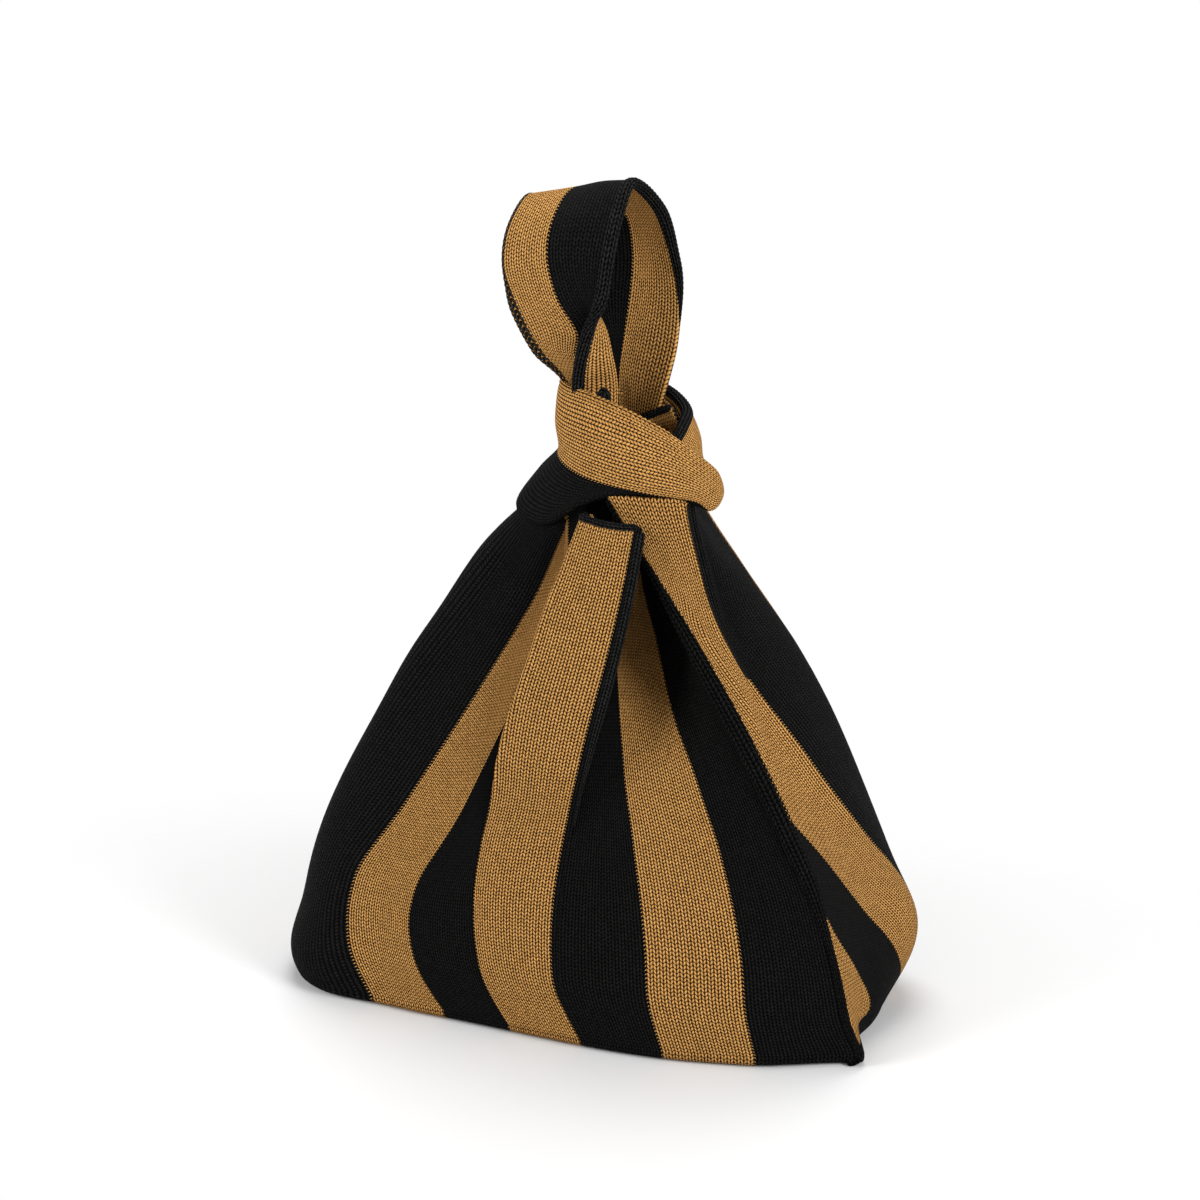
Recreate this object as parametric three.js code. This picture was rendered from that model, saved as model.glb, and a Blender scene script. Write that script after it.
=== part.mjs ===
// A knitted Japanese knot bag: a striped pouch whose long handle is drawn through its short handle.
// Millimetres, +Z up, +X to the bag's right, -Y to its front. The origin is on the floor, under the middle.
import * as THREE from 'three';

// Knit and its edges
const KNIT = 4; // thickness of the double-faced knit
const FIT = 0.4; // gap kept between pieces that lie against each other
const SEAM_RADIUS = 3; // linked side seams
const HEM_RADIUS = 2.6; // chain-stitched hems along free edges

// Foot of the bag
const FOOT_X = 5; // the foot's corners stand a little to the right of the whole bag's middle
const CORNER_X = 145; // half the width between the lower corners
const END_DEPTH = 100; // depth of the foot at its two ends
const FOOT_BOW = 15; // how far the front and the back swell between their corners
const LEFT_SWELL = 16; // how far the left end swells between its corners
const RIGHT_TUCK = 6; // how far the right end is tucked in between its corners

// Neck, where the knit is gathered
const NECK_X = 15; // the neck stands a little to the right of the middle
const NECK_TOP = 266;
const NECK_HALF_WIDTH = 42;
const NECK_HALF_DEPTH = 32;
const NECK_SQUARENESS = 2.6; // 2 is an ellipse, more is squarer

// Short handle: its front strap rises from the bag's right end and is drawn into a collar round the neck
const STRAP_TOP = NECK_TOP + 17;
const STRAP_STAND = NECK_HALF_DEPTH + 5; // how far the strap's top stands in front of the neck's middle
const COLLAR_TOP = NECK_TOP + 66; // the collar's highest place, at the front left
const ROOT_TOP = COLLAR_TOP - 16; // the short handle's back root, which shows inside the collar

// Front flap, the mouth's edge folded over at the front
const FLAP_TOP = NECK_TOP + 5;
const FLAP_STAND = STRAP_STAND + 9; // how far the flap's top stands in front of the neck's middle
const FLAP_LEFT = -10; // the flap's top corners, from the neck's middle
const FLAP_RIGHT = 22;
const FLAP_FOOT = 0.44; // place along the wales where the flap parts from the front

// Long handle: two limbs through the collar and a loop above it
const HINGE_Z = NECK_TOP + 22; // the loop tips about a line across the neck at this height
const HINGE_REACH = 60; // limbs end and the loop starts at this distance from that line
const LOOP_TOP = HINGE_Z + 145;

// Mesh fineness
const WALE_STEPS = 14;
const GAP_STEPS = 2;
const COLLAR_STEPS = 5;
const LIMB_STEPS = 5;
const LOOP_STEPS = 26;
const CORD_FACETS = 4; // facets on half of a cord's round

const TAN = { color: 0xbe8c50, roughness: 0.95, metalness: 0 };
const BLACK = { color: 0x1c1c1c, roughness: 0.95, metalness: 0 };

const part = new THREE.Group();

function addPiece(name, geometry, look) {
  const mesh = new THREE.Mesh(geometry, new THREE.MeshStandardMaterial(look));
  mesh.name = name;
  part.add(mesh);
}

function vec(x, y, z) {
  return new THREE.Vector3(x, y, z);
}

// A point given from the neck's middle, at a height from the floor
function atNeck(x, y, z) {
  return vec(NECK_X + x, y, z);
}

// An index kept inside a list, going round it where the list is closed
function beside(i, count, closed) {
  return closed ? (i + count) % count : Math.min(Math.max(i, 0), count - 1);
}

// A closed sheet of knit about a grid of points: columns run up the wales, rows go round the bag.
// A level foot or top is an edge face that lies flat, so that another piece can stand on it.
function sheetGeometry(rows, { closed = false, levelFoot = false, levelTop = false } = {}) {
  const rowCount = rows.length;
  const columnCount = rows[0].length;
  const columnAt = (j) => beside(j, columnCount, closed);
  const rowAt = (i) => beside(i, rowCount, false);
  const outer = [];
  const inner = [];
  rows.forEach((row, i) => row.forEach((point, j) => {
    const across = rows[i][columnAt(j + 1)].clone().sub(rows[i][columnAt(j - 1)]);
    const along = rows[rowAt(i + 1)][j].clone().sub(rows[rowAt(i - 1)][j]);
    const normal = across.cross(along);
    if ((levelFoot && i === 0) || (levelTop && i === rowCount - 1)) normal.setZ(0);
    normal.setLength(KNIT / 2);
    outer.push(point.clone().add(normal));
    inner.push(point.clone().sub(normal));
  }));
  const positions = [...outer, ...inner].flatMap((p) => [p.x, p.y, p.z]);
  const index = [];
  const innerStart = rowCount * columnCount;
  const at = (i, j, start) => start + i * columnCount + columnAt(j);
  const quad = (a, b, c, d) => index.push(a, b, c, a, c, d);
  const spans = closed ? columnCount : columnCount - 1;
  for (let i = 0; i < rowCount - 1; i += 1) {
    for (let j = 0; j < spans; j += 1) {
      quad(at(i, j, 0), at(i, j + 1, 0), at(i + 1, j + 1, 0), at(i + 1, j, 0));
      const [a, b] = [at(i, j, innerStart), at(i, j + 1, innerStart)];
      quad(a, at(i + 1, j, innerStart), at(i + 1, j + 1, innerStart), b);
    }
    if (!closed) {
      const last = columnCount - 1;
      quad(at(i, 0, innerStart), at(i, 0, 0), at(i + 1, 0, 0), at(i + 1, 0, innerStart));
      quad(at(i, last, 0), at(i, last, innerStart), at(i + 1, last, innerStart), at(i + 1, last, 0));
    }
  }
  for (let j = 0; j < spans; j += 1) {
    const top = rowCount - 1;
    quad(at(0, j, innerStart), at(0, j + 1, innerStart), at(0, j + 1, 0), at(0, j, 0));
    quad(at(top, j, 0), at(top, j + 1, 0), at(top, j + 1, innerStart), at(top, j, innerStart));
  }
  const geometry = new THREE.BufferGeometry();
  geometry.setAttribute('position', new THREE.Float32BufferAttribute(positions, 3));
  geometry.setIndex(index);
  geometry.computeVertexNormals();
  return geometry;
}

// A round cord along points, such as a seam or a hem
function cordGeometry(points, radius, stepCount) {
  const section = new THREE.Shape();
  section.absarc(0, 0, radius, 0, 2 * Math.PI);
  const path = new THREE.CatmullRomCurve3(points, false, 'centripetal');
  const options = { steps: stepCount, curveSegments: CORD_FACETS, extrudePath: path };
  return new THREE.ExtrudeGeometry(section, options);
}

// Place along a row, searched from its start or its end, where it comes clear of a cord's centre line
const SEARCH_STEPS = 240;
function clearPlace(row, cord, reach, fromEnd) {
  const places = steps(0, 1, SEARCH_STEPS).map((place) => (fromEnd ? 1 - place : place));
  return places.find((place) => {
    const point = row.getPoint(place);
    return cord.every((centre) => centre.distanceTo(point) > reach);
  });
}

// Rows of points lofted through wale lines, with GAP_STEPS columns in each gap. A cord that runs beside
// the first or the last line is given by points on its centre line, and the rows stop short of it.
function loftRows(lines, places, { first = [], last = [], reach = 0 } = {}) {
  const columnCount = (lines.length - 1) * GAP_STEPS;
  return places.map((t) => {
    const across = new THREE.CatmullRomCurve3(lines.map((line) => line(t)), false, 'centripetal');
    const from = clearPlace(across, first, reach, false);
    const to = clearPlace(across, last, reach, true);
    return steps(from, to, columnCount).map((place) => across.getPoint(place));
  });
}

function steps(from, to, count) {
  return Array.from({ length: count + 1 }, (_, i) => from + ((to - from) * i) / count);
}

// Centre line of a hem that sits on the upper edge of lofted rows
function hemLine(rows, closed = false) {
  const [below, edge] = rows.slice(-2);
  return edge.map((point, j) => {
    const before = edge[beside(j - 1, edge.length, closed)];
    const after = edge[beside(j + 1, edge.length, closed)];
    const tangent = after.clone().sub(before).normalize();
    const up = point.clone().sub(below[j]);
    up.addScaledVector(tangent, -up.dot(tangent)).setLength(HEM_RADIUS + FIT);
    return point.clone().add(up);
  });
}

// Foot of a wale on the front (side -1) or the back (side 1), by its place between corners at -1 and 1
function onLongSide(place, side) {
  return [FOOT_X + place * CORNER_X, side * (END_DEPTH / 2 + FOOT_BOW * (1 - place ** 2))];
}

// Foot of a wale on the left (side -1) or the right (side 1) end, by its place between corners at -1 and 1
function onEnd(place, side) {
  const swell = side < 0 ? LEFT_SWELL : -RIGHT_TUCK;
  return [FOOT_X + side * (CORNER_X + swell * (1 - place ** 2)), (place * END_DEPTH) / 2];
}

// Place on the gathered neck, by an angle from +X towards the back
function onNeck(degrees, z = NECK_TOP) {
  const angle = THREE.MathUtils.degToRad(degrees);
  const reach = (value) => Math.sign(value) * Math.abs(value) ** (2 / NECK_SQUARENESS);
  return atNeck(NECK_HALF_WIDTH * reach(Math.cos(angle)), NECK_HALF_DEPTH * reach(Math.sin(angle)), z);
}

// A wale from its foot to the neck. Its belly is given from the foot, sideways, outwards and up; its waist is
// given from the neck's middle and by the drop from the neck's top.
const KNIT_FOOT = KNIT + FIT;
function wale([footX, footY], [leanX, leanY, rise], [waistX, waistY, drop], neck) {
  const foot = vec(footX, footY, KNIT_FOOT);
  const belly = vec(footX + leanX, footY + leanY, rise);
  const curve = new THREE.CubicBezierCurve3(foot, belly, atNeck(waistX, waistY, NECK_TOP - drop), neck);
  return (t) => curve.getPoint(t);
}

// A place behind the flap, where the mouth's front edge dips and lies back from the neck's front
function inDip(x, back, dip) {
  return atNeck(x, back - NECK_HALF_DEPTH, NECK_TOP - dip);
}

// A place on the top of the short handle's front strap
function onStrap(x, back) {
  return atNeck(x, back - STRAP_STAND, STRAP_TOP);
}

// Wales of the front knit, from the back left corner round the left end to the right front corner
const rightCorner = wale(onEnd(-1, 1), [-4, 0, 85], [74, -50, 86], onStrap(3, 0));
const leftCorner = wale(onEnd(1, -1), [-9, 4, 90], [-85, 30, 76], onNeck(148));
const MOUTH_CORNER = 0.9; // place on the right corner's wale where the front ends and the strap goes on
const frontWales = [
  leftCorner,
  wale(onEnd(0.2, -1), [-12, -4, 95], [-82, -2, 66], onNeck(178)),
  wale(onEnd(-0.7, -1), [-14, 0, 80], [-102, -26, 72], onNeck(205)),
  wale(onLongSide(-0.94, -1), [-14, -4, 86], [-84, -34, 96], onNeck(222)),
  wale(onLongSide(-0.69, -1), [-16, -2, 90], [-80, -46, 116], onNeck(238)),
  wale(onLongSide(-0.48, -1), [-26, -1, 84], [-54, -48, 106], onNeck(250)),
  wale(onLongSide(-0.25, -1), [-30, -2, 85], [-40, -50, 96], inDip(-12, -2, 0)),
  wale(onLongSide(0.03, -1), [-19, -3, 90], [-4, -48, 94], inDip(4, 7, 4)),
  wale(onLongSide(0.34, -1), [-18, -3, 88], [12, -44, 94], inDip(10, 10, 6)),
  wale(onLongSide(0.66, -1), [-12, -4, 85], [50, -45, 101], inDip(16, 9, 10)),
  (t) => rightCorner(t * MOUTH_CORNER),
];

// Wales of the back knit, from the right front corner round the right end to the back left corner
const backWales = [
  rightCorner,
  wale(onEnd(0.08, 1), [29, -6, 60], [74, -34, 96], onStrap(22, 0)),
  wale(onEnd(0.76, 1), [42, 2, 62], [70, -8, 81], onStrap(39, 3)),
  wale(onLongSide(0.92, 1), [25, 8, 80], [92, 26, 86], onNeck(0)),
  wale(onLongSide(0.66, 1), [8, 8.5, 88], [56, 46, 76], onNeck(38)),
  wale(onLongSide(0.28, 1), [2, 6, 90], [26, 52, 71], onNeck(66)),
  wale(onLongSide(-0.07, 1), [-2, 6, 90], [-4, 54, 71], onNeck(90)),
  wale(onLongSide(-0.41, 1), [-6, 6.5, 90], [-34, 52, 71], onNeck(114)),
  wale(onLongSide(-0.74, 1), [-8, 7.5, 88], [-66, 44, 76], onNeck(134)),
  leftCorner,
];

const fullHeight = steps(0, 1, WALE_STEPS);
const SEAM_REACH = SEAM_RADIUS + FIT + KNIT / 8;
const finePlaces = steps(0, 1, SEARCH_STEPS);
const rightSeam = finePlaces.map(rightCorner);
const leftSeam = finePlaces.map(leftCorner);
const frontRows = loftRows(frontWales, fullHeight, { first: leftSeam, last: rightSeam, reach: SEAM_REACH });
const backRows = loftRows(backWales, fullHeight, { first: rightSeam, last: leftSeam, reach: SEAM_REACH });
addPiece('front_panel', sheetGeometry(frontRows, { levelFoot: true, levelTop: true }), BLACK);
addPiece('back_panel', sheetGeometry(backRows, { levelFoot: true, levelTop: true }), TAN);

// Base: the turned-under foot of the knit, a flat layer under the walls
function baseGeometry() {
  const round = [rightCorner(0), ...backRows[0], leftCorner(0), ...frontRows[0]];
  const outline = round.map((point) => {
    const flat = new THREE.Vector2(point.x, point.y);
    return flat.setLength(flat.length() + KNIT / 2);
  });
  return new THREE.ExtrudeGeometry(new THREE.Shape(outline), { depth: KNIT, bevelEnabled: false });
}
addPiece('base_panel', baseGeometry(), BLACK);

// Side seams along the two corners; the right one goes on up the strap as its hem
const SEAM_END = 0.98;
function seamGeometry(corner) {
  const points = steps(0, SEAM_END, WALE_STEPS).map(corner);
  return cordGeometry(points, SEAM_RADIUS, WALE_STEPS);
}
addPiece('right_side_seam', seamGeometry(rightCorner), BLACK);
addPiece('left_side_seam', seamGeometry(leftCorner), BLACK);

// Front flap: it lies against the front knit at its foot and stands clear of it at its top. Each of its wales
// starts on the front knit, at a place counted in that knit's wales, and goes over to a line of its own.
const FLAP_BACK = KNIT + 2 * FIT;
function onFront(wales, t) {
  const across = new THREE.CatmullRomCurve3(frontWales.map((line) => line(t)), false, 'centripetal');
  return across.getPoint(wales / (frontWales.length - 1));
}
const flapWales = [
  { wales: 6, waist: [-44, -56, 98], top: FLAP_LEFT },
  { wales: 6.55, waist: [-14, -58, 96], top: (FLAP_LEFT + FLAP_RIGHT) / 2 },
  { wales: 7.15, waist: [4, -56, 94], top: FLAP_RIGHT },
].map(({ wales, waist, top }) => {
  const foot = onFront(wales, 0);
  const own = wale([foot.x, foot.y], [-24, -3, 88], waist, atNeck(top, FLAP_BACK - FLAP_STAND, FLAP_TOP));
  return (t) => {
    const parting = (t - FLAP_FOOT) / (1 - FLAP_FOOT);
    return onFront(wales, t).lerp(own(t), Math.sqrt(parting)).add(vec(0, -FLAP_BACK, 0));
  };
});
const flapPlaces = steps(FLAP_FOOT, 1, WALE_STEPS - 4);
const flapEdge = flapPlaces.map(flapWales[2]);
const HEM_REACH = HEM_RADIUS + FIT + KNIT / 8;
const flapRows = loftRows(flapWales, flapPlaces, { last: flapEdge, reach: HEM_REACH });
addPiece('front_flap', sheetGeometry(flapRows), TAN);
addPiece('flap_edge_hem', cordGeometry(flapEdge, HEM_RADIUS, WALE_STEPS), BLACK);
addPiece('flap_top_hem', cordGeometry(hemLine(flapRows), HEM_RADIUS, GAP_STEPS * 2), BLACK);

// Collar: places round the neck, each with how far its two edges stand out from a snug fit and their heights
const SNUG = KNIT + FIT;
const COLLAR_LOW = NECK_TOP + 2 * (HEM_RADIUS + FIT); // its lower hem lies on the gathered knit's edge
const STRAP_LOW = STRAP_TOP + 2 * (HEM_RADIUS + FIT); // and on the front strap's edge
const collarPlaces = [
  { angle: -22, lowOut: 8, low: STRAP_LOW - 8, topOut: 10, top: COLLAR_TOP - 38 },
  { angle: 12, lowOut: 2, low: COLLAR_LOW + 4, topOut: -1, top: COLLAR_TOP - 30 },
  { angle: 42, lowOut: 1.5, low: COLLAR_LOW + 1, topOut: 0, top: COLLAR_TOP - 19 },
  { angle: 90, lowOut: 2, low: COLLAR_LOW, topOut: 2, top: COLLAR_TOP - 10 },
  { angle: 138, lowOut: 1.5, low: COLLAR_LOW, topOut: -1, top: COLLAR_TOP - 6 },
  { angle: 178, lowOut: 6, low: COLLAR_LOW, topOut: -4, top: COLLAR_TOP - 3 },
  { angle: 212, lowOut: 9, low: COLLAR_LOW, topOut: -3, top: COLLAR_TOP - 1 },
  { angle: 238, lowOut: 7, low: COLLAR_LOW + 1, topOut: -2, top: COLLAR_TOP },
  { angle: 266, lowOut: 4, low: STRAP_LOW - 2, topOut: 0, top: COLLAR_TOP - 4 },
  { angle: 298, lowOut: 3, low: STRAP_LOW, topOut: 2, top: COLLAR_TOP - 15 },
  { angle: 322, lowOut: 5, low: STRAP_LOW, topOut: 6, top: COLLAR_TOP - 26 },
];

function collarPoint({ angle }, out, z) {
  const neck = onNeck(angle, z);
  const outward = neck.clone().sub(atNeck(0, 0, z)).setLength(SNUG + out);
  return neck.add(outward);
}

function ring(points) {
  return new THREE.CatmullRomCurve3(points, true, 'centripetal');
}

const collarLow = ring(collarPlaces.map((place) => collarPoint(place, place.lowOut, place.low)));
const collarTop = ring(collarPlaces.map((place) => collarPoint(place, place.topOut, place.top)));
const collarColumns = steps(0, 1, collarPlaces.length * GAP_STEPS * 2).slice(0, -1);
const collarRows = steps(0, 1, COLLAR_STEPS).map((rise) => (
  collarColumns.map((round) => collarLow.getPoint(round).lerp(collarTop.getPoint(round), rise))
));
addPiece('short_handle_collar', sheetGeometry(collarRows, { closed: true }), TAN);

// Collar hems, each a cord whose two ends meet at the back
const HEM_JOIN = 4; // the column where the ends meet
function collarHem(rows) {
  const line = hemLine(rows, true);
  const round = [...line.slice(HEM_JOIN), ...line.slice(0, HEM_JOIN)];
  const [start, end] = [round[0], round[round.length - 1]];
  const join = start.clone().lerp(end, FIT / start.distanceTo(end));
  return cordGeometry([...round, join], HEM_RADIUS, collarColumns.length);
}
addPiece('collar_top_hem', collarHem(collarRows), BLACK);
addPiece('collar_lower_hem', collarHem([...collarRows].reverse()), BLACK);

// Short handle's back root: it stands on the back knit inside the collar and leans in over the mouth
const rootFeet = [6, 28, 50].map((angle) => onNeck(angle, NECK_TOP + FIT));
const rootTops = [atNeck(31, 4, ROOT_TOP - 5), atNeck(19, 9, ROOT_TOP - 2), atNeck(6, 11, ROOT_TOP)];
const rootWales = rootFeet.map((foot, i) => {
  const top = rootTops[i];
  const rise = vec(0, 0, (top.z - foot.z) / 3);
  const curve = new THREE.CubicBezierCurve3(foot, foot.clone().add(rise), top.clone().sub(rise), top);
  return (t) => curve.getPoint(t);
});
const rootRows = loftRows(rootWales, steps(0, 1, LIMB_STEPS));
addPiece('short_handle_back_root', sheetGeometry(rootRows, { levelFoot: true }), TAN);
addPiece('back_root_hem', cordGeometry(hemLine(rootRows), HEM_RADIUS, GAP_STEPS * 2), BLACK);

// A place at a distance from the line that the loop tips about
function onHinge(x, y, reach) {
  const scale = reach / HINGE_REACH;
  return atNeck(x, y * scale, HINGE_Z + Math.sqrt(reach ** 2 - (y * scale) ** 2));
}

function fromHinge(point) {
  return vec(0, point.y, point.z - HINGE_Z).normalize();
}

// Long handle's edges where the limbs end: across the neck, at the front and at the back
const FRONT_SPLIT = [[-30, -11], [-24, -15], [-18, -19], [-12, -22]];
const BACK_SPLIT = [[-24, 22], [-10, 22], [4, 21], [17, 20]];

function limbRows(feet, split) {
  const limbWales = split.map(([x, y], i) => {
    const foot = feet[i];
    const top = onHinge(x, y, HINGE_REACH);
    const reach = top.distanceTo(foot) / 3;
    const lower = foot.clone().add(vec(0, 0, reach));
    const upper = top.clone().sub(fromHinge(top).setLength(reach));
    const curve = new THREE.CubicBezierCurve3(foot, lower, upper, top);
    return (t) => curve.getPoint(t);
  });
  return loftRows(limbWales, steps(0, 1, LIMB_STEPS));
}
const frontFeet = steps(208, 240, 3).map((angle) => onNeck(angle, NECK_TOP + FIT));
const backFeet = steps(114, 62, 3).map((angle) => onNeck(angle, NECK_TOP + FIT));
const frontLimb = limbRows(frontFeet, FRONT_SPLIT);
addPiece('long_handle_front_limb', sheetGeometry(frontLimb, { levelFoot: true }), BLACK);
const backLimb = limbRows(backFeet, BACK_SPLIT).map((row) => row.reverse());
addPiece('long_handle_back_limb', sheetGeometry(backLimb, { levelFoot: true }), TAN);

// Loop: stations from the front limb over the crown to the back limb, each with its tan and its black edge
const loopStations = [
  [atNeck(-55, -16, LOOP_TOP - 66), atNeck(-9, -28, LOOP_TOP - 70)],
  [atNeck(-58, -15, LOOP_TOP - 44), atNeck(0, -33, LOOP_TOP - 34)],
  [atNeck(-52, 5, LOOP_TOP - 13), atNeck(7, -6, LOOP_TOP)],
  [atNeck(-42, 33, LOOP_TOP - 44), atNeck(17, 28, LOOP_TOP - 40)],
  [atNeck(-38, 31, LOOP_TOP - 68), atNeck(20, 30, LOOP_TOP - 66)],
];
const LOOP_START = HINGE_REACH + 2 * FIT;
const LOOP_LEAD = 8; // the loop leaves each limb straight for this length

// A place between the points of a split, by a share of the way across
function acrossSplit(split, share) {
  const along = share * (split.length - 1);
  const i = Math.min(Math.floor(along), split.length - 2);
  return split[i].map((value, k) => value + (split[i + 1][k] - value) * (along - i));
}

function loopLine(across) {
  const [frontEnd, backEnd] = [FRONT_SPLIT, BACK_SPLIT].map((split) => acrossSplit(split, across));
  const middle = loopStations.map(([tan, black]) => tan.clone().lerp(black, across));
  const points = [
    onHinge(...frontEnd, LOOP_START),
    onHinge(...frontEnd, LOOP_START + LOOP_LEAD),
    ...middle,
    onHinge(...backEnd, LOOP_START + LOOP_LEAD),
    onHinge(...backEnd, LOOP_START),
  ];
  const path = new THREE.CatmullRomCurve3(points, false, 'centripetal');
  return (t) => path.getPoint(t);
}
const loopPlaces = steps(0, 1, LOOP_STEPS);
const loopWales = steps(0, 1, 3).map(loopLine);
const tanEdge = finePlaces.map(loopWales[0]);
const blackEdge = finePlaces.map(loopWales[3]);
const loopRows = loftRows(loopWales, loopPlaces, { first: tanEdge, last: blackEdge, reach: HEM_REACH });
addPiece('long_handle_band', sheetGeometry(loopRows), TAN);
addPiece('long_handle_left_hem', cordGeometry(tanEdge, HEM_RADIUS, LOOP_STEPS), BLACK);
addPiece('long_handle_right_hem', cordGeometry(blackEdge, HEM_RADIUS, LOOP_STEPS), BLACK);

export default part;
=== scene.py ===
import math

import bpy
import numpy as np
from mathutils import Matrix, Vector


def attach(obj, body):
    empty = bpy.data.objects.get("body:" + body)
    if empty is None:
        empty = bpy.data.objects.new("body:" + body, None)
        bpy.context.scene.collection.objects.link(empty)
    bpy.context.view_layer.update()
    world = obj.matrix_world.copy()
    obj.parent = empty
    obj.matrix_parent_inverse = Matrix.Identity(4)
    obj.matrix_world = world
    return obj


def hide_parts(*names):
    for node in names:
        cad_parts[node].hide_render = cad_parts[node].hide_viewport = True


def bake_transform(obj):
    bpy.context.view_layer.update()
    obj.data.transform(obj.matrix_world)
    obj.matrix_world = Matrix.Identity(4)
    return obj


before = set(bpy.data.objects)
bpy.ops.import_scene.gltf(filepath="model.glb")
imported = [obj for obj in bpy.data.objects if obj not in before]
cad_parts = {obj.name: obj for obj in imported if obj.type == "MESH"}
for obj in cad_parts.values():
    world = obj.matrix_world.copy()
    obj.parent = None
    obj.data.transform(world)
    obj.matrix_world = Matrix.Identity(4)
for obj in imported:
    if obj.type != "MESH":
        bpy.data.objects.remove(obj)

scene = bpy.context.scene
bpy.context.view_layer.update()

# Sizes of the knit, in millimetres; new_mesh puts each piece into metres
MM = 0.001
KNIT = 4.0  # thickness of the double-faced knit
COLLAR_KNIT, HANDLE_KNIT = 3.4, 3.2  # thickness where it is drawn tight
STRIPE = 14  # wales in one colour stripe
COLUMN = 0.5  # wales between two columns of points
COURSE = 1.95  # height of one course
LOOSE_COURSE, LACE_COURSE = 2.6, 3.0  # the same in a loose chain and in a lace edge
STITCH_LEAN = 0.8  # courses that a stitch's arm rises from its wale's middle to its edge

# Foot and neck of the bag
FOOT_X, CORNER_X, END_DEPTH, FOOT_BOW = 5, 145, 100, 15
LEFT_SWELL, RIGHT_TUCK = 16, 6
NECK_X, NECK_TOP, NECK_WIDE, NECK_DEEP, NECK_SQUARE = 15, 266, 42, 32, 2.6
STRAP_TOP, STRAP_STAND = NECK_TOP + 17, NECK_DEEP + 5
FRONT_REACH = 0.9  # share of the right corner's height that the front knit follows
TURN_UNDER, TURN_STEPS = 5.0, 5  # radius and rows of the turned-under foot
LEVEL = np.array([1.0, 1.0, 0.0])
UPWARDS = np.array([0.0, 0.0, 1.0])
NECK_AXIS = np.array([NECK_X, 0.0, 0.0])
HANDLES_AXIS = np.array([NECK_X, -2.0, 0.0])


def eased(value, start, end):
    share = np.clip((np.asarray(value, float) - start) / (end - start), 0, 1)
    return share * share * (3 - 2 * share)


def hump(value, middle, width):
    return np.exp(-(((value - middle) / width) ** 2))


def unit(vectors):
    return vectors / np.maximum(np.linalg.norm(vectors, axis=-1, keepdims=True), 1e-9)


def through(knots, places):
    """A smooth curve through knots (..., n, 3), read at places (..., m) counted in knots."""
    knots = np.asarray(knots, float)
    places = np.asarray(places, float)
    before = 2 * knots[..., :1, :] - knots[..., 1:2, :]
    after = 2 * knots[..., -1:, :] - knots[..., -2:-1, :]
    padded = np.concatenate([before, knots, after], -2)
    first = np.clip(np.floor(places).astype(int), 0, knots.shape[-2] - 2)
    f = (places - first)[..., None]
    a, b, c, d = (np.take_along_axis(padded, (first + k)[..., None], -2) for k in range(4))

    def pace(start, end):
        return np.maximum(np.linalg.norm(end - start, axis=-1, keepdims=True), 1e-4) ** 0.5

    ab, bc, cd = pace(a, b), pace(b, c), pace(c, d)
    lead = ((b - a) / ab - (c - a) / (ab + bc) + (c - b) / bc) * bc
    tail = ((c - b) / bc - (d - b) / (bc + cd) + (d - c) / cd) * bc
    return (
        (2 * f**3 - 3 * f**2 + 1) * b
        + (f**3 - 2 * f**2 + f) * lead
        + (3 * f**2 - 2 * f**3) * c
        + (f**3 - f**2) * tail
    )


def run_length(points):
    return np.concatenate([[0], np.cumsum(np.linalg.norm(np.diff(points, axis=0), axis=-1))])


def read_points(points, places, at):
    """Points or directions given at places along a line, read at other places on it."""
    return np.stack([np.interp(at, places, points[:, k]) for k in range(3)], -1)


def even_run(points, count):
    """The same line with its points set evenly along it."""
    length = run_length(points)
    return read_points(points, length, np.linspace(0, length[-1], count))


# Wales of the pouch
def at_neck(x, y, z):
    return np.array([NECK_X + x, y, z], float)


def on_neck(degrees):
    angle = math.radians(degrees)

    def reach(value):
        return math.copysign(abs(value) ** (2 / NECK_SQUARE), value)

    return at_neck(NECK_WIDE * reach(math.cos(angle)), NECK_DEEP * reach(math.sin(angle)), NECK_TOP)


def on_long_side(place, side):
    return FOOT_X + place * CORNER_X, side * (END_DEPTH / 2 + FOOT_BOW * (1 - place**2))


def on_end(place, side):
    swell = LEFT_SWELL if side < 0 else -RIGHT_TUCK
    return FOOT_X + side * (CORNER_X + swell * (1 - place**2)), place * END_DEPTH / 2


def wale(foot, lean, waist, neck):
    """A wale from its foot to the neck. lean is how far it stands out over its foot, and at what height;
    waist is where it turns in to the neck, from the neck's middle and below its top."""
    knots = np.array([
        [foot[0], foot[1], TURN_UNDER + KNIT / 2],
        [foot[0] + lean[0], foot[1] + lean[1], lean[2]],
        at_neck(waist[0], waist[1], NECK_TOP - waist[2]),
        neck,
    ])

    def line(t):
        t = np.asarray(t, float)[..., None]
        s = 1 - t
        return s**3 * knots[0] + 3 * s**2 * t * knots[1] + 3 * s * t**2 * knots[2] + t**3 * knots[3]

    return line


def in_dip(x, back, dip):
    return at_neck(x, back - NECK_DEEP, NECK_TOP - dip)


def on_strap(x, back):
    return at_neck(x, back - STRAP_STAND, STRAP_TOP)


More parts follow.
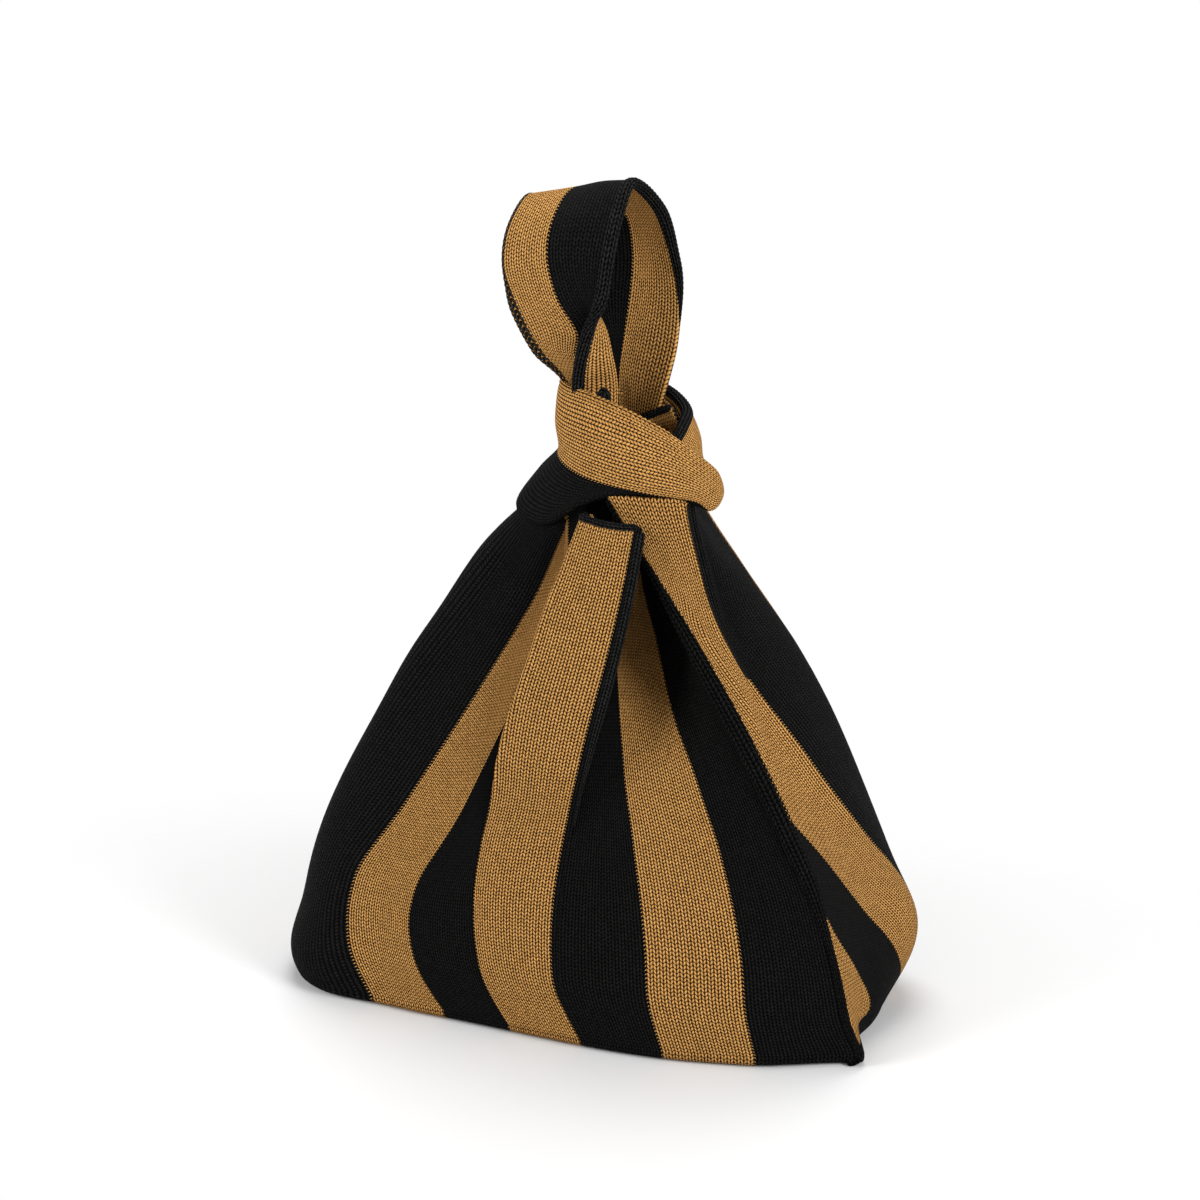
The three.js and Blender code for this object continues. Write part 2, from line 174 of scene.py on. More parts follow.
right_corner = wale(on_end(-1, 1), (-9, 0, 85), (74, -50, 86), on_strap(3, 0))
left_corner = wale(on_end(1, -1), (-9, 4, 90), (-85, 30, 76), on_neck(148))
front_wales = [
    left_corner,
    wale(on_end(0.2, -1), (-12, -4, 95), (-82, -2, 66), on_neck(178)),
    wale(on_end(-0.7, -1), (-14, 0, 80), (-102, -26, 72), on_neck(205)),
    wale(on_long_side(-0.94, -1), (-14, -4, 86), (-84, -34, 96), on_neck(222)),
    wale(on_long_side(-0.69, -1), (-16, -2, 90), (-80, -46, 116), on_neck(238)),
    wale(on_long_side(-0.48, -1), (-26, -1, 84), (-54, -48, 106), on_neck(250)),
    wale(on_long_side(-0.25, -1), (-30, -2, 85), (-40, -50, 96), in_dip(-12, -2, 0)),
    wale(on_long_side(0.03, -1), (-19, -3, 90), (-4, -48, 94), in_dip(4, 7, 4)),
    wale(on_long_side(0.34, -1), (-18, -3, 88), (12, -44, 94), in_dip(10, 10, 6)),
    wale(on_long_side(0.66, -1), (-12, -4, 85), (50, -45, 101), in_dip(16, 9, 10)),
    lambda t: right_corner(np.asarray(t) * FRONT_REACH),
]
back_wales = [
    right_corner,
    wale(on_end(0.08, 1), (29, -6, 60), (74, -34, 96), on_strap(22, 0)),
    wale(on_end(0.76, 1), (42, 2, 62), (70, -8, 81), on_strap(39, 3)),
    wale(on_long_side(0.92, 1), (25, 8, 80), (92, 26, 86), on_neck(0)),
    wale(on_long_side(0.66, 1), (8, 8.5, 88), (56, 46, 76), on_neck(38)),
    wale(on_long_side(0.28, 1), (2, 6, 90), (26, 52, 71), on_neck(66)),
    wale(on_long_side(-0.07, 1), (-2, 6, 90), (-4, 54, 71), on_neck(90)),
    wale(on_long_side(-0.41, 1), (-6, 6.5, 90), (-34, 52, 71), on_neck(114)),
    wale(on_long_side(-0.74, 1), (-8, 7.5, 88), (-66, 44, 76), on_neck(134)),
    left_corner,
]


def lofted(wales, places, heights):
    """Points on the knit lofted through the wales: places (rows, columns) in wales, one height a row."""
    lines = np.stack([line(heights) for line in wales], 1)
    return through(lines, places)


def band(stations, steps, station_u):
    """Points and wales of a band through stations, each a row of places across it at the wales station_u."""
    stations = np.asarray(stations, float)
    along = np.linspace(0, len(stations) - 1, steps)
    lines = np.stack([through(stations[:, k], along) for k in range(len(station_u))], 1)
    u = np.arange(station_u[0], station_u[-1] + COLUMN / 2, COLUMN)
    places = np.interp(u, station_u, range(len(station_u)))
    return through(lines, np.broadcast_to(places, (steps, len(u)))), u


def turned_under(rows):
    """Rows added below a foot that turns in and under in a quarter round."""
    across = np.gradient(rows[0], axis=0)
    inward = unit(np.stack([-across[:, 1], across[:, 0], np.zeros(len(across))], -1))
    turn = np.linspace(np.pi / 2, 0, TURN_STEPS, endpoint=False)[:, None, None]
    under = rows[0] + inward * TURN_UNDER * (1 - np.cos(turn)) - UPWARDS * TURN_UNDER * np.sin(turn)
    return np.concatenate([under, rows])


def normals_of(grid, closed=False):
    if closed:
        across = np.roll(grid, -1, 1) - np.roll(grid, 1, 1)
    else:
        across = np.gradient(grid, axis=1)
    return unit(np.cross(across, np.gradient(grid, axis=0)))


def pressed(grid, pushes, give=1.0):
    """Soft swells and dents: each push is a place, a radius and how far the knit moves out there, as far as
    it gives. The foot stays on the ground."""
    normals = normals_of(grid)
    moved = np.zeros(grid.shape[:2])
    for place, radius, amount in pushes:
        far = np.linalg.norm((grid - np.array(place, float)) / np.array(radius, float), axis=-1)
        moved += amount * np.exp(-(far**2)) * give
    grid = grid + normals * moved[..., None]
    grid[..., 2] = np.maximum(grid[..., 2], TURN_UNDER + KNIT / 2)
    return grid


# How the knit settles on the ground
RIGHT_FRONT_FORWARD, LEFT_FRONT_BACK = 12, 4
END_BOW, END_HOLLOW = 7, 4
CORNER_FOOT_OUT, CORNER_SIDE_IN = 2.5, 3.2


def settled(grid):
    """The lower right front comes forward on the ground, and the right end's foot stands out between its
    corners, with its front corner drawn in above the ground."""
    x, y, z = grid[..., 0], grid[..., 1], grid[..., 2]
    right_front = RIGHT_FRONT_FORWARD * eased(x, -70, 70) * (1 - 0.7 * eased(x, 95, 150))
    left_front = LEFT_FRONT_BACK * (1 - eased(x, -150, -70))
    forward = (right_front - left_front) * (1 - eased(y, -35, 50)) * (1 - eased(z, 0, 100))
    bow = (END_BOW * hump(y, 4, 28) - END_HOLLOW * hump(y, -30, 14)) * (1 - eased(z, 10, 80))
    side_in = CORNER_SIDE_IN * eased(z, 8, 28) * (1 - eased(z, 62, 105))
    corner = (CORNER_FOOT_OUT * (1 - eased(z, 4, 18)) - side_in) * hump(y, -54, 16)
    outward = (bow + corner) * eased(x, 105, 145)
    return grid + np.stack([outward, -forward, 0 * x], -1)


# Objects and meshes
def placed(name, data):
    thing = bpy.data.objects.new(name, data)
    scene.collection.objects.link(thing)
    return thing


def aimed(name, data, place, direction):
    """A lamp or a camera that looks in a direction."""
    thing = placed(name, data)
    thing.location = place
    thing.rotation_mode = "QUATERNION"
    thing.rotation_quaternion = direction.to_track_quat("-Z", "Y")
    return thing


def new_mesh(name, points, quads, knit_uv, triangles=()):
    mesh = bpy.data.meshes.new(name)
    mesh.from_pydata((points * MM).tolist(), [], quads.tolist() + list(triangles))
    layer = mesh.uv_layers.new(name="knit")
    layer.data.foreach_set("uv", np.ascontiguousarray(knit_uv, dtype=np.float32).ravel())
    mesh.polygons.foreach_set("use_smooth", np.ones(len(mesh.polygons), dtype=bool))
    mesh.update()
    return placed(name, mesh)


def joined_round(values):
    """A grid with its first column again after its last."""
    return np.concatenate([values, values[:, :1]], 1)


def corners_of(values):
    """The values at the four corners of each quad of a grid."""
    return np.stack([values[:-1, :-1], values[:-1, 1:], values[1:, 1:], values[1:, :-1]], -1).reshape(-1, 4)


ARM_END = 0.95  # how far a stitch's arm falls away where the next course covers it
WALE_EDGE, WALE_MIDDLE = 0.8, 0.8  # depth of the valleys between wales and between a wale's arms


def stitch_height(u, v):
    """Height of a knit face, 0 in its holes and 1 on the arms of its stitches."""
    a = np.abs(2 * (u % 1) - 1)
    end = np.abs(2 * ((v - STITCH_LEAN * a) % 1) - 1)
    return (1 - ARM_END * end**2) * (1 - WALE_EDGE * eased(a, 0.5, 1) - WALE_MIDDLE * eased(1 - a, 0.5, 1))


RIM_ANGLES = np.radians((30, 62, 90))  # how far each row of points goes round a free edge
LEAST_SPACING = 0.2


def knit_sheet(name, grid, u, v, thick=KNIT, closed=False, inside=0):
    """A closed double-faced knit: grid (rows, columns, 3) is its middle, u counts wales at each point and v
    courses at each row. The inner face is inside wales on, which changes its colours over, and the free
    edges are rounded."""
    rows, columns = grid.shape[:2]
    u = np.broadcast_to(u, (rows, columns)).astype(float)
    v = np.broadcast_to(v[:, None], (rows, columns))
    out = np.broadcast_to(np.asarray(thick, float) / 2, (rows, columns))
    normals = normals_of(grid, closed)
    along = unit(np.gradient(grid, axis=0))
    sine, cosine = np.sin(RIM_ANGLES), np.cos(RIM_ANGLES)
    rim = (len(RIM_ANGLES), len(RIM_ANGLES))

    def grown(values, pad):
        return np.pad(values, pad + ((0, 0),) * (values.ndim - 2), mode="edge")

    def round_edge(count):
        reach = np.concatenate([-sine[::-1], np.zeros(count), sine])
        flat = np.concatenate([cosine[::-1], np.ones(count), cosine])
        return reach, flat

    reach, flat = (values[:, None] for values in round_edge(rows))
    grid, along, normals, u, v, out = (grown(q, (rim, (0, 0))) for q in (grid, along, normals, u, v, out))
    grid = grid + along * (out * reach)[..., None]
    v = v + reach * out / COURSE
    out = out * flat
    if not closed:
        step = np.gradient(grid, axis=1)
        step_u = np.gradient(u, axis=1) / np.maximum(np.linalg.norm(step, axis=-1), LEAST_SPACING)
        reach, flat = round_edge(columns)
        grid, across, normals, u, v, out, step_u = (
            grown(q, ((0, 0), rim)) for q in (grid, unit(step), normals, u, v, out, step_u)
        )
        grid = grid + across * (out * reach)[..., None]
        u = u + reach * out * step_u
        out = out * flat

    number = np.arange(out.size).reshape(out.shape)
    edge = np.zeros(out.shape, bool)
    edge[0] = edge[-1] = True
    if not closed:
        edge[:, 0] = edge[:, -1] = True
    inner_number = np.where(edge, number, number + number.size)
    used = np.concatenate([np.ones(number.size, bool), ~edge.ravel()])
    renumber = np.cumsum(used) - 1
    both_faces = [(grid + normals * side * out[..., None]).reshape(-1, 3) for side in (1, -1)]
    if closed:
        number, inner_number, u, v = (joined_round(q) for q in (number, inner_number, u, v))
    outer_quads, inner_quads = renumber[corners_of(number)], renumber[corners_of(inner_number)][:, ::-1]
    outer_uv = np.stack([corners_of(u), corners_of(v)], -1)
    inner_uv = outer_uv[:, ::-1] + np.array([inside, 0])
    quads, uv = np.concatenate([outer_quads, inner_quads]), np.concatenate([outer_uv, inner_uv])
    return new_mesh(name, np.concatenate(both_faces)[used], quads, uv)


HEM_COLUMNS = 6  # points across one wale of a hem
HEM_ROWS = 5  # points along one course of a hem
LEAST_HEM_ROWS = 12
HEM_TIP = 0.02  # share of its size that a hem keeps at its tips


def chain_hem(name, line, facing, wide, deep, wales, u_start=0.0, bulge=0.42, courses=COURSE):
    """A hem of chained stitches along a line: a soft cord, wide along the knit and deep out of it, with the
    stitches raised from it. facing is the knit's outward direction at each point of the line, and wide and
    deep may be given there too."""
    line = np.asarray(line, float)
    length = run_length(line)
    rows = max(int(length[-1] / courses * HEM_ROWS), LEAST_HEM_ROWS)
    at = np.linspace(0, length[-1], rows)
    centre = read_points(line, length, at)
    facing = read_points(np.broadcast_to(np.asarray(facing, float), line.shape), length, at)
    wide, deep = (np.interp(at, length, np.broadcast_to(size, len(line)))[:, None] for size in (wide, deep))
    along = unit(np.gradient(centre, axis=0))
    side = unit(np.cross(unit(facing), along))
    out = np.cross(along, side)
    ring = wales * HEM_COLUMNS
    angle = np.linspace(0, 2 * np.pi, ring, endpoint=False)
    u = u_start + angle / (2 * np.pi) * wales
    v = at / courses
    to_end = np.minimum(at, length[-1] - at)[:, None]
    taper = np.sqrt(np.clip(1 - (1 - np.clip(to_end / deep, 0, 1)) ** 2, HEM_TIP**2, 1))
    lift = bulge * (wide / wide.max()) * (stitch_height(u[None, :], v[:, None]) - 0.5)
    points = (
        centre[:, None]
        + side[:, None] * (np.cos(angle) * (wide + lift) * taper)[..., None]
        + out[:, None] * (np.sin(angle) * (deep + lift) * taper)[..., None]
    )
    number = joined_round(np.arange(rows * ring).reshape(rows, ring))
    u_grid, v_grid = np.meshgrid(np.append(u, u_start + wales), v)
    uv = np.stack([corners_of(u_grid), corners_of(v_grid)], -1).reshape(-1, 2)
    first, last = rows * ring, rows * ring + 1
    fans = [(first, int(number[0, j + 1]), int(number[0, j])) for j in range(ring)]
    fans += [(last, int(number[-1, j]), int(number[-1, j + 1])) for j in range(ring)]
    fan_uv = np.zeros((3 * len(fans), 2)) + [u_start + 0.5, 0]
    points = np.concatenate([points.reshape(-1, 3), centre[:1], centre[-1:]])
    return new_mesh(name, points, corners_of(number), np.concatenate([uv, fan_uv]), fans)


# Materials
def set_inputs(node, **values):
    for key, value in values.items():
        node.inputs[key.replace("_", " ")].default_value = value


class Nodes:
    """Short ways to add and join shader nodes in one tree."""

    def __init__(self, tree):
        self.tree = tree

    def add(self, kind, **settings):
        node = self.tree.nodes.new(kind)
        for key, value in settings.items():
            setattr(node, key, value)
        return node

    def join(self, value, socket):
        """Joins a node's output to a socket, or sets the socket to a number or a colour."""
        if isinstance(value, (int, float)):
            socket.default_value = value
        elif isinstance(value, tuple):
            socket.default_value = (*value, 1)
        else:
            self.tree.links.new(value, socket)

    def math(self, operation, *values):
        node = self.add("ShaderNodeMath", operation=operation)
        for value, socket in zip(values, node.inputs):
            self.join(value, socket)
        return node.outputs[0]

    def ease(self, value, low, high):
        node = self.add("ShaderNodeMapRange", interpolation_type="SMOOTHSTEP")
        set_inputs(node, From_Min=low, From_Max=high)
        self.join(value, node.inputs["Value"])
        return node.outputs["Result"]

    def mix(self, share, first, second):
        node = self.add("ShaderNodeMix", data_type="RGBA")
        for value, k in ((share, 0), (first, 6), (second, 7)):
            self.join(value, node.inputs[k])
        return node.outputs[2]


# Stitches in the materials: heights are 0 in the holes of the knit and 1 on its yarn
STITCH_FUZZ = 0.36  # how far loose fibres raise and lower the yarn, in all
STITCH_CHANCE = 0.2  # how far the arms of the stitches differ in height, in all
SHADE_CHANCE = 0.3  # share of the shade that differs by arm; the rest differs along the yarn
SCALLOP = 0.3  # wales by which a colour edge goes to and fro along its stitches
OPEN_STITCH, CLOSE_LIT_STITCH = (0.14, 0.70), (0.10, 0.67)  # heights where yarn begins and where it is whole; under them lies the painted shade of the holes. The close pair shrinks that shade on the bands, which makes them lighter: partly their tighter knit, partly painted light
LACE_HOLE = (0.0, 0.16)
STITCH_RELIEF = 1.1 * MM
KNIT_ROUGHNESS, KNIT_SHINE = 0.8, 0.03


def knit_group():
    """Stitches of a knit face from its wales and courses: their height, where yarn lies, whether it is tan,
    and its shade."""
    tree = bpy.data.node_groups.new("knit_stitches", "ShaderNodeTree")
    tree.interface.new_socket("Wales and courses", in_out="INPUT", socket_type="NodeSocketVector")
    for name in ("Height", "Yarn", "Tan", "Shade"):
        tree.interface.new_socket(name, in_out="OUTPUT", socket_type="NodeSocketFloat")
    n = Nodes(tree)
    given = n.add("NodeGroupInput")
    result = n.add("NodeGroupOutput")
    split = n.add("ShaderNodeSeparateXYZ")
    n.join(given.outputs[0], split.inputs[0])
    u, v = split.outputs["X"], split.outputs["Y"]
    from_middle = n.math("ABSOLUTE", n.math("SUBTRACT", n.math("MULTIPLY", n.math("FRACT", u), 2.0), 1.0))
    course = n.math("SUBTRACT", v, n.math("MULTIPLY", from_middle, STITCH_LEAN))
    end = n.math("ABSOLUTE", n.math("MULTIPLY_ADD", n.math("FRACT", course), 2.0, -1.0))
    along_arm = n.math("MULTIPLY_ADD", n.math("MULTIPLY", end, end), -ARM_END, 1.0)
    valleys = n.math(
        "ADD",
        n.math("MULTIPLY", n.ease(from_middle, 0.5, 1.0), WALE_EDGE),
        n.math("MULTIPLY", n.ease(n.math("SUBTRACT", 1.0, from_middle), 0.5, 1.0), WALE_MIDDLE),
    )
    arm = n.math("MULTIPLY", along_arm, n.math("SUBTRACT", 1.0, valleys))
    over_stripes = n.math("PINGPONG", n.math("SUBTRACT", u, STRIPE / 2), float(STRIPE))
    into_tan = n.math("SUBTRACT", over_stripes, STRIPE / 2)
    scallop = n.math("MULTIPLY_ADD", end, -2 * SCALLOP, SCALLOP)
    place = n.add("ShaderNodeCombineXYZ")
    n.join(n.math("FLOOR", n.math("MULTIPLY", u, 2.0)), place.inputs[0])
    n.join(n.math("FLOOR", course), place.inputs[1])
    chance = n.add("ShaderNodeTexWhiteNoise", noise_dimensions="2D")
    n.join(place.outputs[0], chance.inputs["Vector"])
    by_arm = chance.outputs["Value"]
    fuzz = n.add("ShaderNodeTexNoise", noise_dimensions="2D")
    set_inputs(fuzz, Scale=2.2, Detail=3.0, Roughness=0.65)
    n.join(given.outputs[0], fuzz.inputs["Vector"])
    by_fibre = fuzz.outputs[0]
    fuzzy = n.math("MULTIPLY_ADD", by_fibre, STITCH_FUZZ, -STITCH_FUZZ / 2)
    uneven = n.math("MULTIPLY", arm, n.math("MULTIPLY_ADD", by_arm, STITCH_CHANCE, 1 - STITCH_CHANCE / 2))
    height = n.math("ADD", uneven, fuzzy)
    n.join(height, result.inputs["Height"])
    n.join(n.ease(height, *OPEN_STITCH), result.inputs["Yarn"])
    n.join(n.math("GREATER_THAN", n.math("ADD", into_tan, scallop), 0.0), result.inputs["Tan"])
    arm_shade = n.math("MULTIPLY", by_arm, SHADE_CHANCE)
    fibre_shade = n.math("MULTIPLY", by_fibre, 1 - SHADE_CHANCE)
    n.join(n.math("ADD", arm_shade, fibre_shade), result.inputs["Shade"])
    return tree


KNIT_GROUP = knit_group()
# Yarn colours. The colours given for the holes between stitches are painted shade, darker than any yarn
TAN_YARN, TAN_BRIGHT, TAN_HOLE_SHADE = (0.485, 0.240, 0.065), (0.815, 0.427, 0.131), (0.015, 0.005, 0.001)
BLACK_YARN, BLACK_BRIGHT = (0.004, 0.004, 0.0039), (0.0145, 0.0145, 0.014)
BLACK_HOLE_SHADE = (0.0002, 0.0002, 0.0002)
# Black of the hems, lighter than the pouch's black: painted highlights on the chain stitches
HEM_YARN, HEM_HIGHLIGHT_BRIGHT = (0.006, 0.006, 0.0058), (0.034, 0.034, 0.033)


def knit_material(name, yarns, bump=0.55, close_and_lit=False):
    """A matt knit. yarns is "striped", "tan", "black" or "lace", black chain with tan in its holes. Other
    holes take painted shade, and hems have a lighter black for painted highlights. Close stitches show more
    yarn and less of the holes' painted shade, so the bands that use them come out lighter: partly a tighter
    knit, partly painted light."""
    material = bpy.data.materials.new(name)
    material.use_nodes = True
    tree = material.node_tree
    tree.nodes.clear()
    n = Nodes(tree)
    coordinates = n.add("ShaderNodeUVMap", uv_map="knit")
    stitches = n.add("ShaderNodeGroup", node_tree=KNIT_GROUP)
    n.join(coordinates.outputs[0], stitches.inputs[0])
    height, shade = stitches.outputs["Height"], stitches.outputs["Shade"]
    # close stitches leave less painted shade in the holes: lighter, partly for a tighter knit, partly as
    # painted light
    yarn = n.ease(height, *CLOSE_LIT_STITCH) if close_and_lit else stitches.outputs["Yarn"]
    # hems and lace take the lighter black of painted highlights
    blacks = (BLACK_YARN, BLACK_BRIGHT) if yarns == "striped" else (HEM_YARN, HEM_HIGHLIGHT_BRIGHT)
    # where there is no yarn, the holes take painted shade
    tan = n.mix(yarn, TAN_HOLE_SHADE, n.mix(shade, TAN_YARN, TAN_BRIGHT))
    black = n.mix(yarn, BLACK_HOLE_SHADE, n.mix(shade, *blacks))
    if yarns == "lace":
        black = n.mix(n.ease(height, *LACE_HOLE), TAN_YARN, black)
    if yarns == "striped":
        colour = n.mix(stitches.outputs["Tan"], black, tan)
    else:
        colour = tan if yarns == "tan" else black
    raised = n.add("ShaderNodeBump")
    set_inputs(raised, Strength=bump, Distance=STITCH_RELIEF)
    n.join(height, raised.inputs["Height"])
    shader = n.add("ShaderNodeBsdfPrincipled")
    set_inputs(shader, Roughness=KNIT_ROUGHNESS, Specular_IOR_Level=KNIT_SHINE)
    n.join(colour, shader.inputs["Base Color"])
    n.join(raised.outputs[0], shader.inputs["Normal"])
    finish = n.add("ShaderNodeOutputMaterial")
    n.join(shader.outputs[0], finish.inputs["Surface"])
    return material


STRIPED_KNIT = knit_material("striped_knit", "striped")
# Bands of the collar, handle and root: closer stitches make them lighter, partly their tighter knit, partly
# painted light
LIT_STRIPED_BAND = knit_material("striped_band_lit", "striped", bump=0.36, close_and_lit=True)
TAN_KNIT = knit_material("tan_knit", "tan")
BLACK_HEM = knit_material("black_hem", "black", bump=0.6)
LACE_HEM = knit_material("lace_hem", "lace", bump=0.6)
SLOT_LOOKS = {"striped_knit": STRIPED_KNIT, "tan_knit": TAN_KNIT, "black_hem": BLACK_HEM}


def dress(piece, slot, *nodes, look=None, bends=None):
    """Gives a piece its look, the slot's unless look is given, and hides the solids it stands for. Given
    bends, only its placing is baked in, and the bodies and ends in bends are not used; otherwise it rides on
    the bag."""
    piece.data.materials.append(look or SLOT_LOOKS[slot])
    if nodes:
        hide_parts(*nodes)
    if bends:
        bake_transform(piece)
    else:
        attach(piece, "bag")
    return piece


def black_hem(name, nodes, line, facing, look=None, bends=None, **shape):
    return dress(chain_hem(name, line, facing, **shape), "black_hem", *nodes, look=look, bends=bends)


def tell_sheet(grid, closed=False):
    """Works out how large a knit is when it lies flat, its widest row and its longest wale, but neither
    returns nor prints them. A closed one lies flat already."""
    ring = joined_round(grid) if closed else grid
    across, along = np.diff(ring, axis=1), np.diff(ring, axis=0)
    width = np.linalg.norm(across, axis=-1).sum(1).max()
    length = np.linalg.norm(along, axis=-1).sum(0).max()
    if closed:
        width, length = np.ptp(grid[..., 0]), np.ptp(grid[..., 1])


# Front knit: the places of its colour edges, in wales of the loft, at shares of its height
EDGE_HEIGHTS = (0, 0.1, 0.2, 0.3, 0.45, 0.6, 0.75, 0.9, 1)
FRONT_EDGES = (
    (0,) * 9,
    (0.6,) * 9,
    (1.2,) * 9,
    (3.74, 3.50, 3.43, 3.44, 3.86, 4.16, 4.45, 4.82, 4.6),
    (5.0, 4.66, 4.54, 4.65, 5.24, 5.6, 6.0, 6.4, 4.6),
    (6.1, 5.9, 5.88, 5.88, 5.94, 6.05, 6.4, 7.3, 7.6),
    (7.04, 6.82, 6.83, 6.86, 6.94, 6.98, 7.1, 7.36, 7.6),
    (8.02, 7.95, 8.0, 8.0, 7.95, 7.78, 7.5, 7.6, 7.8),
    (9.0, 8.96, 9.0, 9.0, 8.97, 8.84, 8.46, 8.1, 8.2),
    (10,) * 9,
)
FRONT_STRIPES = len(FRONT_EDGES) - 1
PANEL_ROWS = 128
EDGE_SMOOTHING = 9  # rows over which a colour edge is smoothed
CORNER_COLOUR = 0.8  # wales beside a corner that keep the next stripe's colour
LEFT_FOOT_SWELL = ((-156, -34, 14), (30, 44, 20), 8)
LEFT_SHOULDER_SWELL = ((-48, -12, 246), (34, 44, 54), 8)
LEFT_SIDE_SWELL = ((-95, -10, 190), (40, 60, 32), 3.2)
RECESS_BESIDE_STRAP = ((34, -30, 230), (25, 44, 60), -44)
FRONT_PUSHES = (LEFT_FOOT_SWELL, LEFT_SHOULDER_SWELL, LEFT_SIDE_SWELL, RECESS_BESIDE_STRAP)
RISE_BEHIND_FLAP = np.array([0, 2, 20])
heights = np.linspace(0, 1, PANEL_ROWS)


def smoothed(line):
    padded = np.pad(line, EDGE_SMOOTHING // 2, mode="reflect", reflect_type="odd")
    return np.convolve(padded, np.ones(EDGE_SMOOTHING) / EDGE_SMOOTHING, mode="valid")


edge_places = np.array([smoothed(np.interp(heights, EDGE_HEIGHTS, edge)) for edge in FRONT_EDGES])
edge_wales = np.arange(len(FRONT_EDGES)) * STRIPE
front_u = np.arange(0, STRIPE * FRONT_STRIPES + COLUMN / 2, COLUMN)
front_places = np.array([np.interp(front_u, edge_wales, row) for row in edge_places.T])
off_seam = 1 - eased(front_u, (FRONT_STRIPES - 1) * STRIPE, (FRONT_STRIPES - 0.1) * STRIPE)
front_rows = pressed(settled(lofted(front_wales, front_places, heights)), FRONT_PUSHES, off_seam)
behind_flap = eased(front_u, 50, 64) * (1 - eased(front_u, 96, 110)) * eased(heights, 0.9, 1)[:, None]
front_rows = turned_under(front_rows + behind_flap[..., None] * RISE_BEHIND_FLAP)
front_v = run_length(front_rows[:, len(front_u) // 2]) / COURSE
shown_u = np.clip(front_u, CORNER_COLOUR, FRONT_STRIPES * STRIPE - CORNER_COLOUR)
front_knit = dress(knit_sheet("front_knit", front_rows, shown_u, front_v), "striped_knit", "front_panel")


# Back knit with the short handle's front strap: the colour edges of its right end, in wales, by height
def edge_line(*points):
    return smoothed(np.interp(heights, *zip(*points)))


STRAP_EDGE = edge_line(
    (0, 2.02), (0.19, 2.08), (0.25, 2.16), (0.39, 1.66), (0.52, 1.40), (0.62, 1.28), (0.70, 1.08),
    (0.79, 0.94), (0.85, 1.26), (0.91, 1.60), (1, 2.0),
)
SLIVER_EDGE = edge_line(
    (0, 1.5), (0.04, 1.42), (0.12, 1.22), (0.21, 1.06), (0.30, 0.80), (0.40, 0.41), (0.46, 0.04),
    (0.52, -0.40), (0.62, -0.87), (0.70, -1.3), (0.79, -1.5), (0.85, -0.7), (0.91, -0.4), (1, -0.4),
)
CORNER_EDGE = edge_line(
    (0, -0.9), (0.004, 0.1), (0.012, 0.45), (0.03, 0.57), (0.09, 0.57), (0.12, 0.49), (0.17, 0.36),
    (0.21, 0.2), (0.27, 0.02), (0.31, -0.08), (0.40, -0.8), (0.52, -2.2), (0.79, -4), (1, -2.8),
)
STRAP_EDGE_U = 10 * STRIPE  # wales from the left corner, round the front, to the strap's right edge
STRAP_COLUMNS = 96
BACK_STRIPES = 7
FIRST_BACK_STRIPE = 0.26  # share of the way round the back that the stripe beside the strap takes
RIGHT_FOOT_SWELL = ((160, 30, 42), (30, 32, 22), 5)
RIGHT_SIDE_HOLLOW = ((135, 40, 105), (40, 40, 60), -3)
CREASE_STEP, STRAP_STEP = 1.8, 4.5
TUCK_IN, TUCK_UP = 0.24, 15  # share of the way to the axis, and rise, of the back's top in the collar

strap_share = np.linspace(0, 1, STRAP_COLUMNS, endpoint=False)
back_share = np.linspace(0, 1, int(BACK_STRIPES * STRIPE / COLUMN) + 1)
strap_places = STRAP_EDGE[:, None] * strap_share
round_back = np.interp(back_share, (0, 1 / BACK_STRIPES, 1), (0, FIRST_BACK_STRIPE, 1))
past_strap = STRAP_EDGE[:, None] + (len(back_wales) - 1 - STRAP_EDGE[:, None]) * round_back
back_places = np.concatenate([strap_places, past_strap], 1)
back_pushes = (RIGHT_FOOT_SWELL, RIGHT_SIDE_HOLLOW)
back_rows = pressed(settled(lofted(back_wales, back_places, heights)), back_pushes)
crease = np.interp(heights, (0.55, 0.8), (0, 0.95))[:, None]
before_crease = (1 - eased(back_places - crease, -0.15, 0.3)) * eased(back_places, 0, 0.4)
crease_height = eased(heights, 0.5, 0.68) * (1 - eased(heights, 0.74, 0.95))
raised_part = before_crease * crease_height[:, None]
back_rows = back_rows + normals_of(back_rows) * CREASE_STEP * raised_part[..., None]
from_strap = back_share * BACK_STRIPES * STRIPE
behind_strap = eased(from_strap, 0.5, 3.5) * (1 - eased(from_strap, 6, 18))
step_back = behind_strap * eased(heights, 0.72, 0.84)[:, None] * STRAP_STEP
back_rows[:, STRAP_COLUMNS:] -= normals_of(back_rows)[:, STRAP_COLUMNS:] * step_back[..., None]
in_collar = eased(back_share, 0.01, 0.08) * (1 - eased(back_share, 0.88, 1))
tucked_in = eased(heights, 0.88, 1)[:, None] * in_collar
into_neck = (HANDLES_AXIS - back_rows[:, STRAP_COLUMNS:]) * LEVEL * TUCK_IN + UPWARDS * TUCK_UP
back_rows[:, STRAP_COLUMNS:] += into_neck * tucked_in[..., None]
back_rows = turned_under(back_rows)
edge_u = STRAP_EDGE_U - STRIPE * np.array([3, 2, 1, 0])
strap_u = np.array([
    np.interp(row, (2 * corner - sliver, corner, sliver, strap), edge_u)
    for row, corner, sliver, strap in zip(strap_places, CORNER_EDGE, SLIVER_EDGE, STRAP_EDGE)
])
strap_u = np.concatenate([np.repeat(strap_u[:1], TURN_STEPS, 0), strap_u])
past_strap_u = np.broadcast_to(STRAP_EDGE_U + from_strap, (len(back_rows), len(back_share)))
back_u = np.concatenate([strap_u, past_strap_u], 1)
